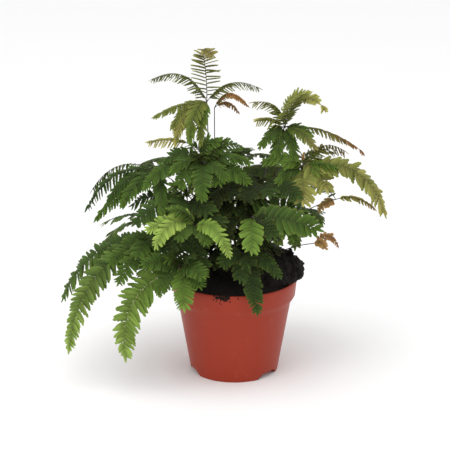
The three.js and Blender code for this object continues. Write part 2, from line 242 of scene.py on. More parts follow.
def copy_of(piece: Piece) -> Piece:
    """Copies a piece with its mesh into the scene.

    Args:
        piece: the piece to copy.

    Returns:
        The copy.
    """
    copy = piece.copy()
    copy.data = piece.data.copy()
    bpy.context.scene.collection.objects.link(copy)
    return copy


def join(pieces: list[Piece], name: str) -> Piece:
    """Joins pieces into the first one and names it.

    Args:
        pieces: the meshes.
        name: the name of the joined piece.

    Returns:
        The joined piece.
    """
    pick_up(*pieces)
    if len(pieces) > 1:
        bpy.ops.object.join()
    pieces[0].name = name
    pieces[0].data.name = name
    return pieces[0]


def delete(piece: Piece) -> None:
    """Removes a working piece and its mesh.

    Args:
        piece: the mesh.
    """
    mesh = piece.data
    bpy.data.objects.remove(piece)
    bpy.data.meshes.remove(mesh)


def hand_in(piece: Piece, material: Material, nodes: Iterable[str]) -> None:
    """Gives a finished piece its finish and its place in the frame, and reports it.

    Args:
        piece: the finished mesh.
        material: the finish.
        nodes: the solids that it stands for.
    """
    piece.data.materials.clear()
    piece.data.materials.append(material)
    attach(piece, "root")
    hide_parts(*nodes)
    faces = len(piece.data.polygons)
    log.info("%s: %d faces, for %s", piece.name, faces, ", ".join(nodes))


# ---------------------------------------------------------------- finishes


@dataclass
class Bench:
    """A node tree being wired."""

    tree: bpy.types.NodeTree

    def add(self, kind: str, **settings) -> bpy.types.Node:
        """Adds a node.

        Args:
            kind: the node's type.
            **settings: its properties.

        Returns:
            The node.
        """
        node = self.tree.nodes.new(kind)
        for key, value in settings.items():
            setattr(node, key, value)
        return node

    def feed(self, target: Socket, value: object) -> None:
        """Links a socket to a target, or sets a plain value on it.

        Args:
            target: the socket to feed.
            value: another socket, or a plain value.
        """
        if isinstance(value, Socket):
            self.tree.links.new(value, target)
        elif target.type == "VECTOR":
            target.default_value = value[:3]
        else:
            target.default_value = value

    def feed_all(self, node: bpy.types.Node, values: dict[str, object]) -> None:
        """Feeds several of a node's sockets, by name."""
        for label, value in values.items():
            self.feed(node.inputs[label], value)

    def maths(self, operation: str, *values: object) -> Socket:
        """Puts a Math node over some values and returns its result.

        Args:
            operation: the node's operation.
            *values: sockets or numbers.

        Returns:
            The result's socket.
        """
        node = self.add("ShaderNodeMath", operation=operation)
        for socket, value in zip(node.inputs, values):
            self.feed(socket, value)
        return node.outputs[0]

    def blend(self, share: object, first: object, second: object) -> Socket:
        """Mixes a share of a second colour into a first one and returns the result.

        Args:
            share: how much of the second.
            first, second: the colours.

        Returns:
            The colour's socket.
        """
        node = self.add("ShaderNodeMix", data_type="RGBA")
        colour_a, colour_b = node.inputs[6], node.inputs[7]
        for socket, value in ((node.inputs["Factor"], share), (colour_a, first), (colour_b, second)):
            self.feed(socket, value)
        return node.outputs[2]

    def shaded(self, colour: object, shade: object) -> Socket:
        """Multiplies a colour by a shade and returns it.

        Args:
            colour: the colour.
            shade: what to multiply it by.

        Returns:
            The colour's socket.
        """
        node = self.add("ShaderNodeVectorMath", operation="SCALE")
        self.feed(node.inputs[0], colour)
        self.feed(node.inputs["Scale"], shade)
        return node.outputs[0]

    def ramp(self, value: object, low: float, high: float, *ends: float) -> Socket:
        """Maps a value from low and high to 0 and 1, or to two other ends, smoothly, and returns it.

        Args:
            value: the value.
            low, high: where the ramp starts and ends.
            *ends: what it gives there, if not 0 and 1.

        Returns:
            The result's socket.
        """
        node = self.add("ShaderNodeMapRange", interpolation_type="SMOOTHSTEP")
        for socket, given in zip(node.inputs, (value, low, high, *ends)):
            self.feed(socket, given)
        return node.outputs[0]

    def speckle(self, vector: object, scale: float, detail: float = 3, roughness: float = 0.6) -> Socket:
        """Adds a noise of so many specks to the metre and returns its value.

        Args:
            vector: the place.
            scale: how many specks to the metre.
            detail, roughness: the noise's own.

        Returns:
            The noise's socket.
        """
        node = self.add("ShaderNodeTexNoise")
        given = {"Vector": vector, "Scale": scale, "Detail": detail, "Roughness": roughness}
        self.feed_all(node, given)
        return node.outputs["Fac"]


def new_group(name: str, inputs: dict[str, str], outputs: dict[str, str]) -> tuple[Bench, dict, dict]:
    """Starts a shader node group.

    Args:
        name: the group's name.
        inputs, outputs: the sockets' names and their types.

    Returns:
        The bench to wire it on, its inputs and its outputs, by name.
    """
    tree = bpy.data.node_groups.new(name, "ShaderNodeTree")
    for in_out, sockets in (("INPUT", inputs), ("OUTPUT", outputs)):
        for label, kind in sockets.items():
            tree.interface.new_socket(label, in_out=in_out, socket_type="NodeSocket" + kind)
    bench = Bench(tree)
    entry = bench.add("NodeGroupInput").outputs
    leave = bench.add("NodeGroupOutput").inputs
    return bench, {label: entry[label] for label in inputs}, {label: leave[label] for label in outputs}


def mottle_group() -> bpy.types.NodeTree:
    """Builds the soft unevenness that every finish shares: a shade round 1 and a fine grain's height.

    Returns:
        The group's node tree.
    """
    bench, given, out = new_group(
        "Mottle",
        {"Vector": "Vector", "Patches": "Float", "Depth": "Float", "Grains": "Float"},
        {"Shade": "Float", "Grain": "Float"},
    )
    patches = bench.speckle(given["Vector"], given["Patches"])
    swing = bench.maths("MULTIPLY", bench.maths("SUBTRACT", patches, 0.5), given["Depth"])
    bench.feed(out["Shade"], bench.maths("ADD", swing, 1.0))
    bench.feed(out["Grain"], bench.speckle(given["Vector"], given["Grains"], detail=2))
    return bench.tree


@dataclass(frozen=True)
class Finish:
    """What all finishes have: a name, how rough and shiny they are, and their unevenness.

    Patches and grains are how many of each there are to the metre. Depth is how far a patch's shade swings,
    and relief is the grain's height.
    """

    name: str
    roughness: float
    patches: float
    depth: float
    grains: float
    relief: float
    specular: float = 0.5

    def start(self) -> tuple[Material, Bench, bpy.types.Node, dict[str, Socket]]:
        """Makes the material with its Mottle.

        Returns:
            The material, its bench, its Principled shader, and the sockets Object, Shade and Grain.
        """
        material = bpy.data.materials.new(self.name)
        material.use_nodes = True
        bench = Bench(material.node_tree)
        shader = material.node_tree.nodes["Principled BSDF"]
        place = bench.add("ShaderNodeTexCoord").outputs["Object"]
        mottle = bench.add("ShaderNodeGroup", node_tree=bpy.data.node_groups["Mottle"])
        given = {"Vector": place, "Patches": self.patches, "Depth": self.depth, "Grains": self.grains}
        bench.feed_all(mottle, given)
        shader.inputs["Specular IOR Level"].default_value = self.specular
        found = {"Object": place, "Shade": mottle.outputs["Shade"], "Grain": mottle.outputs["Grain"]}
        return material, bench, shader, found

    def dull(self, bench: Bench, grain: Socket, swing: float) -> Socket:
        """The roughness, which the grain moves by up to half of a swing to either side."""
        return bench.maths("ADD", bench.maths("MULTIPLY", grain, swing), self.roughness - swing / 2)

    def emboss(self, bench: Bench, shader: bpy.types.Node, height: Socket) -> None:
        """Feeds a height through a Bump node to the shader's normal.

        Args:
            bench: the material's bench.
            shader: its Principled shader.
            height: the height's socket.
        """
        bump = bench.add("ShaderNodeBump")
        bump.inputs["Distance"].default_value = self.relief
        bench.feed(bump.inputs["Height"], height)
        bench.feed(shader.inputs["Normal"], bump.outputs["Normal"])


@dataclass(frozen=True)
class PotPlastic(Finish):
    """Moulded terracotta-coloured plastic: scuffed, and smeared with peat under its rim."""

    colour: tuple[int, int, int] = (148, 48, 26)
    worn: tuple[int, int, int] = (168, 80, 58)
    scuffs: float = 70
    scuffed: float = 0.3
    peat: tuple[int, int, int] = (50, 30, 24)
    specks: float = 420
    smeared: float = 0.75
    smear_drop: float = 7 * MM
    smear_dulls: float = 0.4
    rim_height: float = 93 * MM

    def make(self) -> Material:
        """Builds the material.

        Returns:
            The material.
        """
        material, bench, shader, found = self.start()
        height = bench.add("ShaderNodeSeparateXYZ")
        bench.feed(height.inputs[0], found["Object"])
        colour = bench.shaded(linear(*self.colour), found["Shade"])
        rubbed = bench.speckle(found["Object"], self.scuffs, detail=6, roughness=0.7)
        colour = bench.blend(bench.ramp(rubbed, 0.56, 0.72, 0, self.scuffed), colour, linear(*self.worn))
        near_rim = bench.ramp(height.outputs["Z"], self.rim_height - self.smear_drop, self.rim_height)
        specks = bench.ramp(bench.speckle(found["Object"], self.specks, detail=4), 0.57, 0.66)
        smear = bench.maths("MULTIPLY", specks, near_rim)
        colour = bench.blend(bench.maths("MULTIPLY", smear, self.smeared), colour, linear(*self.peat))
        bench.feed(shader.inputs["Base Color"], colour)
        dulled = bench.maths("MULTIPLY", smear, self.smear_dulls)
        rough = bench.maths("ADD", self.dull(bench, found["Grain"], 0.12), dulled)
        bench.feed(shader.inputs["Roughness"], rough)
        self.emboss(bench, shader, found["Grain"])
        return material


@dataclass(frozen=True)
class Peat(Finish):
    """Moist black peat with brown fibre in it."""

    colour: tuple[int, int, int] = (24, 20, 17)
    fibre: tuple[int, int, int] = (66, 46, 34)
    threads: float = 900
    threaded: float = 0.7
    damp: float = 0.25

    def make(self) -> Material:
        """Builds the material.

        Returns:
            The material.
        """
        material, bench, shader, found = self.start()
        colour = bench.shaded(linear(*self.colour), found["Shade"])
        fine = bench.speckle(found["Object"], self.threads, detail=5, roughness=0.8)
        colour = bench.blend(bench.ramp(fine, 0.58, 0.7, 0, self.threaded), colour, linear(*self.fibre))
        bench.feed(shader.inputs["Base Color"], colour)
        moist = bench.ramp(found["Shade"], 0.8, 1.2, self.roughness - self.damp, self.roughness)
        bench.feed(shader.inputs["Roughness"], moist)
        self.emboss(bench, shader, found["Grain"])
        return material


@dataclass(frozen=True)
class Stalk(Finish):
    """Polished wiry stalk: its own tint, with darker patches."""

    def make(self) -> Material:
        """Builds the material.

        Returns:
            The material.
        """
        material, bench, shader, found = self.start()
        tint = bench.add("ShaderNodeAttribute", attribute_name="tint").outputs["Color"]
        bench.feed(shader.inputs["Base Color"], bench.shaded(tint, found["Shade"]))
        bench.feed(shader.inputs["Roughness"], self.dull(bench, found["Grain"], 0.3))
        self.emboss(bench, shader, found["Grain"])
        return material


VEIN = linear(138, 156, 72)
MARGIN = linear(164, 166, 80)
UNDERSIDE = linear(112, 128, 78)
SPORES = linear(104, 70, 44)
VEIN_FAN = 16.0
SPORE_FAN = 24.0


def leaf_group() -> bpy.types.NodeTree:
    """Builds a leaflet's surface: fanned veins, a paler margin and underside, and spores under the margin.

    It has painted shade at its foot and front edge, where its neighbour covers it, and painted light at its
    tip and rear edge.
    """
    floats = dict.fromkeys(("Shade", "Grain", "Under", "Edge"), "Float")
    inputs = {"Tint": "Color", "UV": "Vector", **floats}
    bench, given, out = new_group("LeafFace", inputs, {"Color": "Color", "Height": "Float"})
    flat = bench.add("ShaderNodeSeparateXYZ")
    bench.feed(flat.inputs[0], given["UV"])
    along, across = flat.outputs["X"], flat.outputs["Y"]
    slant = bench.maths("DIVIDE", bench.maths("SUBTRACT", across, 0.3), bench.maths("ADD", along, 0.25))
    wave = bench.maths("ABSOLUTE", bench.maths("SINE", bench.maths("MULTIPLY", slant, VEIN_FAN)))
    vein = bench.ramp(wave, 0.0, 0.45, 1, 0)
    sideways = bench.maths("MULTIPLY", bench.maths("ABSOLUTE", bench.maths("SUBTRACT", across, 0.5)), 2.0)
    margin = bench.ramp(bench.maths("MAXIMUM", sideways, along), 0.72, 1.0)
    # Painted shade and light: darker at the foot and front edge under the next leaflet, lighter at the tip
    # and rear edge.
    tucked = bench.maths("SUBTRACT", along, bench.maths("MULTIPLY", across, 0.7))
    painted_shading = bench.ramp(tucked, -0.6, 0.75, 0.56, 1.24)
    beads = bench.ramp(bench.maths("SINE", bench.maths("MULTIPLY", slant, SPORE_FAN)), 0.2, 0.6)
    spotted = bench.maths("MULTIPLY", bench.maths("MULTIPLY", beads, margin), given["Under"])

    colour = bench.shaded(bench.shaded(given["Tint"], given["Shade"]), painted_shading)
    layers = (
        (vein, 0.14, VEIN),
        (margin, given["Edge"], MARGIN),
        (given["Under"], 0.25, UNDERSIDE),
        (spotted, 0.7, SPORES),
    )
    for mask, strength, layer in layers:
        colour = bench.blend(bench.maths("MULTIPLY", mask, strength), colour, layer)
    bench.feed(out["Color"], colour)
    ridges, grain = bench.maths("MULTIPLY", vein, 0.7), bench.maths("MULTIPLY", given["Grain"], 0.5)
    bench.feed(out["Height"], bench.maths("ADD", ridges, grain))
    return bench.tree


@dataclass(frozen=True)
class LeafFace(Finish):
    """A leaflet's thin blade, which lets some light through."""

    edge: float = 0.2
    glow: float = 0.2
    glow_colour: tuple[float, float, float] = (0.6, 1.0, 0.25)
    glow_depth: float = 1.2 * MM

    def make(self) -> Material:
        """Builds the material.

        Returns:
            The material.
        """
        material, bench, shader, found = self.start()
        face = bench.add("ShaderNodeGroup", node_tree=bpy.data.node_groups["LeafFace"])
        sources = {
            "Tint": bench.add("ShaderNodeAttribute", attribute_name="tint").outputs["Color"],
            "UV": bench.add("ShaderNodeUVMap", uv_map="UVMap").outputs["UV"],
            "Shade": found["Shade"],
            "Grain": found["Grain"],
            "Under": bench.add("ShaderNodeAttribute", attribute_name="under").outputs["Fac"],
            "Edge": self.edge,
        }
        bench.feed_all(face, sources)
        bench.feed(shader.inputs["Base Color"], face.outputs["Color"])
        bench.feed(shader.inputs["Roughness"], self.dull(bench, found["Grain"], 0.2))
        self.emboss(bench, shader, face.outputs["Height"])
        shader.inputs["Subsurface Weight"].default_value = self.glow
        shader.inputs["Subsurface Radius"].default_value = self.glow_colour
        shader.inputs["Subsurface Scale"].default_value = self.glow_depth
        return material


POT_FINISH = PotPlastic("terracotta_plastic", 0.42, 22, 0.16, grains=1500, relief=0.04 * MM, specular=0.25)
PEAT_FINISH = Peat("moist_peat", 0.95, 160, 0.9, grains=2200, relief=0.5 * MM, specular=0.2)
STALK_FINISH = Stalk("wiry_stalk", 0.38, 240, 0.5, grains=1800, relief=0.05 * MM)
LEAF_BLADE = {"grains": 1600, "relief": 0.12 * MM, "specular": 0.08}
LEAF_FINISHES = {
    Slot.DEEP: LeafFace("deep_leaflet", 0.5, 120, 0.5, edge=0.1, **LEAF_BLADE),
    Slot.FRESH: LeafFace("fresh_leaflet", 0.46, 120, 0.4, edge=0.16, **LEAF_BLADE),
    Slot.OLIVE: LeafFace("olive_leaflet", 0.5, 120, 0.5, edge=0.26, **LEAF_BLADE),
    Slot.BRONZE: LeafFace("bronze_leaflet", 0.5, 160, 0.5, edge=0.12, **LEAF_BLADE),
}


# ---------------------------------------------------------------- pot


@dataclass
class Pot:
    """The moulded nursery pot, with three drained recesses in the edge of its foot."""

    rim_radius: float = 60 * MM
    height: float = 93 * MM
    rim_thickness: float = 2.0 * MM
    band_height: float = 17 * MM
    band_draft: float = 1.5 * MM
    shoulder_height: float = 6 * MM
    body_top_radius: float = 54.3 * MM
    foot_radius: float = 42.2 * MM
    wall: float = 1.3 * MM
    edge: float = 0.5 * MM
    sides: int = 128
    notch_bearings: tuple[float, ...] = (-40, -160, 80)
    notch_height: float = 5.6 * MM
    notch_top_width: float = 16 * MM
    notch_foot_width: float = 30 * MM
    notch_depth: float = 9 * MM
    drain_radius: float = 3 * MM

    def shoulder_foot(self) -> float:
        """The height at which the body ends."""
        return self.height - self.band_height - self.shoulder_height

    def band_foot_radius(self) -> float:
        """The rim band's radius at its lower edge."""
        return self.rim_radius - self.band_draft

    def body_radius_at(self, height: float) -> float:
        """The body's outer radius at a height."""
        return self.foot_radius + (self.body_top_radius - self.foot_radius) * height / self.shoulder_foot()

    def profile(self) -> list[tuple[float, float]]:
        """The outside from the foot up to the rim, then the inside down to the floor, as (radius, height).

        Returns:
            The radius and the height of each point.
        """
        band_foot = self.height - self.band_height
        shoulder = self.shoulder_foot()
        soft = self.edge
        lip = self.rim_radius
        inner_lip = lip - self.rim_thickness
        return [
            (self.foot_radius - soft, 0),
            (self.foot_radius, soft),
            (self.body_radius_at(shoulder - 2 * soft), shoulder - 2 * soft),
            (self.body_top_radius + soft * 0.5, shoulder + soft * 0.5),
            (self.band_foot_radius() - soft, band_foot - soft),
            (self.band_foot_radius(), band_foot + soft),
            (lip - 0.1 * soft, self.height - 3.4 * MM),
            (lip, self.height - 0.8 * MM),
            (lip - 0.25 * MM, self.height - 0.2 * MM),
            (lip - 0.7 * MM, self.height),
            (inner_lip + 0.5 * MM, self.height),
            (inner_lip, self.height - 0.5 * MM),
            (self.band_foot_radius() - self.wall, band_foot + 1 * MM),
            (self.body_radius_at(shoulder) - self.wall, shoulder + 1 * MM),
            (self.body_radius_at(self.wall) - self.wall, self.wall),
        ]

    def raise_rings(self, name: str, rings: list[tuple[float, float]]) -> Piece:
        """Pulls a disc up through rings, each an extrusion that is then sized to its radius.

        Args:
            name: the piece's name.
            rings: (radius, height), the disc first.

        Returns:
            The closed piece.
        """
        radius, height = rings[0]
        piece = start_piece(
            bpy.ops.mesh.primitive_circle_add,
            name,
            vertices=self.sides,
            radius=radius,
            fill_type="NGON",
            location=(0, 0, height),
        )
        edit(piece)
        bpy.ops.mesh.select_all(action="SELECT")
        for next_radius, next_height in rings[1:]:
            rise = (0, 0, next_height - height)
            bpy.ops.mesh.extrude_region_move(TRANSFORM_OT_translate={"value": rise})
            share = next_radius / radius
            bpy.ops.transform.resize(value=(share, share, 1), center_override=(0, 0, next_height))
            radius, height = next_radius, next_height
        bpy.ops.mesh.select_all(action="SELECT")
        bpy.ops.mesh.normals_make_consistent(inside=False)
        let_go()
        return piece

    def recess(self, bearing: float, grow: float) -> Piece:
        """Makes the wedge that a recess is cut with, or with its walls round it where it is grown.

        Args:
            bearing: where on the foot.
            grow: the thickness of the walls, or 0 to cut.

        Returns:
            The wedge.
        """
        reach = self.notch_depth + grow
        outside = 6 * MM
        below = 1 * MM
        top = self.notch_height + grow
        piece = start_piece(
            bpy.ops.mesh.primitive_cube_add,
            "recess",
            size=1,
            location=(self.foot_radius + (outside - reach) / 2, 0, (top - below) / 2),
            scale=(reach + outside, self.notch_foot_width + 2 * grow, top + below),
        )
        edit(piece)
        select_points(lambda place: place.z > 0)
        narrow = (self.notch_top_width + 2 * grow) / (self.notch_foot_width + 2 * grow)
        bpy.ops.transform.resize(value=(1, narrow, 1), center_override=(0, 0, top))
        let_go()
        piece.data.transform(Matrix.Rotation(math.radians(bearing), 4, "Z"))
        return piece

    def drain(self, bearing: float) -> Piece:
        """Makes the rod that a recess's drain hole is cut with.

        Args:
            bearing: where on the foot.

        Returns:
            The rod.
        """
        out = self.foot_radius - self.notch_depth / 2
        angle = math.radians(bearing)
        return start_piece(
            bpy.ops.mesh.primitive_cylinder_add,
            "drain",
            vertices=32,
            radius=self.drain_radius,
            depth=4 * self.wall,
            location=(out * math.cos(angle), out * math.sin(angle), self.notch_height + self.wall / 2),
        )

    def cut(self, piece: Piece, tool: Piece, operation: str) -> None:
        """Joins, cuts or crosses a piece with a tool, and deletes the tool."""
        apply_modifier(piece, "BOOLEAN", operation=operation, object=tool, solver="EXACT")
        delete(tool)

    def build(self) -> None:
        """Moulds the pot, cuts its recesses and dresses it."""
        shell = self.raise_rings("nursery_pot", self.profile())
        shoulder = self.shoulder_foot()
        for bearing in self.notch_bearings:
            middle = shoulder / 2
            inside = self.wall / 2
            rings = [(self.foot_radius - inside, inside), (self.body_radius_at(middle) - inside, middle)]
            walls = self.raise_rings("recess_walls", rings)
            self.cut(walls, self.recess(bearing, self.wall), "INTERSECT")
            self.cut(shell, walls, "UNION")
            self.cut(shell, self.recess(bearing, 0), "DIFFERENCE")
            self.cut(shell, self.drain(bearing), "DIFFERENCE")
        smooth(shell, 32)
        hand_in(shell, POT_FINISH.make(), ["pot"])


# ---------------------------------------------------------------- soil


@dataclass
class RootBall:
    """The peat: a fill inside the pot, a lumpy heap over the rim, and loose crumbs.

    Clods and crumble are the grain and the depth of the heap's unevenness. The sizes of spilled crumbs are in
    mm, and they wane with each metre that a crumb lies below the rim.
    """

    pot: Pot
    sunk: float = 2.2 * MM
    rise: float = 13 * MM
    gap: float = 0.3 * MM
    heap_centre: Vector = field(default_factory=lambda: Vector((18, 11, 93.5)) * MM)
    heap_radii: Vector = field(default_factory=lambda: Vector((50, 48, 24)) * MM)
    heap_lap: float = 93.3 * MM
    clods: tuple[float, float] = (11 * MM, 6.4 * MM)
    crumble: tuple[float, float] = (3.2 * MM, 3 * MM)
    above: float = 0.2
    crumbs: int = 420
    crumb_sizes: tuple[float, ...] = (1.2 * MM, 1.6 * MM, 2.2 * MM, 3.2 * MM)
    crumb_moulds: int = 3
    clod: tuple[float, float] = (54 * MM, 12 * MM)
    clod_rises: tuple[float, ...] = (0.5 * MM, 3.5 * MM)
    clod_size: float = 6 * MM
    spilled: int = 90
    spill_bearing: float = -101
    spill_spread: float = 3.6
    spill_steepness: float = 0.55
    spill_sizes: tuple[float, float] = (1.6, 3.0)
    spill_wanes: float = 160

    def heap_height(self, x: float, y: float) -> float:
        """The smooth heap's height at a point of the plan.

        Args:
            x, y: the point.

        Returns:
            The height.
        """
        across = (x - self.heap_centre.x) / self.heap_radii.x
        deep = (y - self.heap_centre.y) / self.heap_radii.y
        out = across**2 + deep**2
        return self.heap_centre.z + self.heap_radii.z * math.sqrt(max(0, 1 - out))

    def fill(self) -> Piece:
        """Builds the ball inside the pot, up to its slope under the heap.

        Returns:
            The closed piece.
        """
        pot = self.pot
        bottom = pot.notch_height + pot.wall + self.gap
        shoulder = pot.shoulder_foot()
        inside = pot.band_foot_radius() - pot.wall - self.gap
        top = pot.height - self.sunk
        return pot.raise_rings(
            "root_ball",
            [
                (pot.body_radius_at(bottom) - pot.wall - self.gap, bottom),
                (pot.body_radius_at(shoulder) - pot.wall - self.gap, shoulder + 1 * MM),
                (inside, pot.height - pot.band_height + 1 * MM),
                (inside + self.gap, top),
                (inside * 0.6, top + self.rise * 0.7),
                (inside * 0.2, top + self.rise),
            ],
        )

    def heap(self) -> Piece:
        """Builds the heap: a flattened ball, cut level at the rim, broken into clods and then crumbled.

        Returns:
            The closed piece.
        """
        piece = start_piece(
            bpy.ops.mesh.primitive_ico_sphere_add,
            "heap",
            subdivisions=7,
            radius=1,
            location=self.heap_centre,
            scale=self.heap_radii,
        )
        for grain, strength in (self.clods, self.crumble):
            roughen(piece, grain, strength)
        edit(piece)
        bpy.ops.mesh.select_all(action="SELECT")
        lap = (0, 0, self.heap_lap)
        bpy.ops.mesh.bisect(plane_co=lap, plane_no=UP, use_fill=True, clear_inner=True)
        smooth(piece, 50)
        return piece

    def crumb(self, number: int) -> Piece:
        """Models one crumb of unit size: a small ball pushed out of round.

        Args:
            number: which of the moulds.

        Returns:
            The crumb.
        """
        ball = bpy.ops.mesh.primitive_ico_sphere_add
        piece = start_piece(ball, f"crumb_{number}", subdivisions=2, radius=0.5)
        roughen(piece, 0.35 + 0.1 * number, strength=0.8, level=0.45)
        return piece

    def drop_on(self, heap: Piece, x: float, y: float) -> tuple[bool, Vector]:
        """Whether a point of the plan lies over the heap, and the heap's surface there."""
        return heap.ray_cast(Vector((x, y, self.above)), -UP)[:2]

    def spill(self, dice: random.Random) -> tuple[Vector, float]:
        """Picks a place and a size for a crumb on the rim or down its face, smaller the lower it lies.

        Args:
            dice: the seeded random numbers.

        Returns:
            The place and the size.
        """
        bearing = math.radians(self.spill_bearing + dice.gauss(0, self.spill_spread))
        drop = dice.expovariate(self.spill_steepness) * MM
        out = self.pot.rim_radius + (0.2 * MM if drop > 0.8 * MM else -1.6 * MM)
        height = self.pot.height + 0.4 * MM - drop
        place = Vector((out * math.cos(bearing), out * math.sin(bearing), height))
        return place, dice.uniform(*self.spill_sizes) * MM / (1 + self.spill_wanes * drop)

    def scatter(self, dice: random.Random, heap: Piece) -> Piece:
        """Lays crumbs over the heap, thickest at its foot, and some over the front of the rim.

        Args:
            dice: the seeded random numbers.
            heap: the finished heap, for its height.

        Returns:
            All the crumbs as one piece.
        """
        moulds = [self.crumb(number) for number in range(self.crumb_moulds)]
        places = []
        while len(places) < self.crumbs:
            angle = dice.uniform(0, 2 * math.pi)
            out = dice.uniform(0.2, 1) ** 0.5
            x = self.heap_centre.x + out * self.heap_radii.x * math.cos(angle)
            y = self.heap_centre.y + out * self.heap_radii.y * math.sin(angle)
            hit, place = self.drop_on(heap, x, y)
            if hit:
                places.append((place, dice.choice(self.crumb_sizes)))
        foot = self.drop_on(heap, *self.clod)[1]
        places += [(foot + UP * rise, self.clod_size) for rise in self.clod_rises]
        places += [self.spill(dice) for _ in range(self.spilled)]
        copies = []
        for place, size in places:
            copy = copy_of(dice.choice(moulds))
            turn, tumble = (Matrix.Rotation(dice.uniform(0, 6.28), 4, axis) for axis in "ZX")
            squash = Matrix.Diagonal((size, size * dice.uniform(0.6, 1), size * dice.uniform(0.5, 0.9), 1))
            copy.data.transform(Matrix.Translation(place) @ (turn @ tumble) @ squash)
            copies.append(copy)
        for mould in moulds:
            delete(mould)
        crumbs = join(copies, "soil_crumbs")
        smooth(crumbs, 40)
        return crumbs

    def build(self) -> None:
        """Builds the peat and dresses it."""
        finish = PEAT_FINISH.make()
        dice = random.Random(SEED)
        heap = self.heap()
        crumbs = self.scatter(dice, heap)
        ball = join([self.fill(), heap], "soil_heap")
        hand_in(ball, finish, ["soil"])
        hand_in(crumbs, finish, ["soil"])


# ---------------------------------------------------------------- ribs


@dataclass(frozen=True)
class Finger:
    """One finger of a frond: its tip and arch in mm, its lean to the light, its colours and its habit.

    Scale is its leaflets' size beside the frond's. Nod is where its young end curls to from its tip, and bare
    is the stretch of its rib without leaflets, both in mm. Rib is its rib's colour at the fork.
    """

    tip: tuple[float, float, float]
    arch: float
    lean: float
    near: Tone = Tone.DEEP
    far: Tone = Tone.MID
    habit: Habit = Habit.SPREAD
    scale: float = 1.0
    nod: tuple[float, float, float] | None = None
    bare: float = 3.5
    rib: Tone = Tone.BARK


def spray(near: Tone, far: Tone, habit: Habit, scale: float, *paths: tuple[float, ...]) -> list[Finger]:
    """Makes fingers alike in colours and habit, each from its tip's X, Y and Z, its arch and its lean."""
    return [Finger(path[:3], *path[3:], near, far, habit, scale) for path in paths]


@dataclass
class Station:
    """A point of a rib, with the blade's directions there."""

    point: Vector
    tangent: Vector
    side: Vector
    face: Vector


@dataclass
class Rib:
    """A finger's rib: it arches from the fork to its tip in an upright plane."""

    fork: Vector
    control: Vector
    end: Vector
    left: Vector
    light: Vector
    lean: float
    steps: int = 200

    @cached_property
    def lengths(self) -> list[float]:
        """The arc's length from the fork to each of its even steps.

        Returns:
            The lengths, from 0 at the fork.
        """
        measured = [0.0]
        last = self.fork
        for step in range(1, self.steps + 1):
            here = self.at(step / self.steps)
            measured.append(measured[-1] + (here - last).length)
            last = here
        return measured

    @property
    def length(self) -> float:
        """The arc's whole length."""
        return self.lengths[-1]

    def at(self, share: float) -> Vector:
        """The curve's point at a share of its parameter."""
        back = 1 - share
        return self.fork * (back * back) + self.control * (2 * share * back) + self.end * (share * share)

    def share_at(self, along: float) -> float:
        """The parameter's share at a distance along the arc.

        Args:
            along: the distance from the fork.

        Returns:
            The share, from 0 to 1.
        """
        goal = min(max(along, 0), self.length)
        low, high = 0, self.steps
        while high - low > 1:
            middle = (low + high) // 2
            if self.lengths[middle] <= goal:
                low = middle
            else:
                high = middle
        span = self.lengths[high] - self.lengths[low]
        return (low + (goal - self.lengths[low]) / span) / self.steps

    def station(self, along: float) -> Station:
        """The blade's directions at a distance from the fork."""
        return self.station_at(self.share_at(along))

    def station_at(self, share: float) -> Station:
        """The blade's directions at a share of the curve's parameter: its upper face leans to the light.

        Args:
            share: the share, from 0 to 1.

        Returns:
            The station.
        """
        start, finish = self.control - self.fork, self.end - self.control
        tangent = (start * (1 - share) + finish * share).normalized()
        sunny = self.light - tangent * self.light.dot(tangent)
        face = (tangent.cross(self.left) + sunny * self.lean).normalized()
        return Station(self.at(share), tangent, face.cross(tangent), face)


# ---------------------------------------------------------------- leaflets


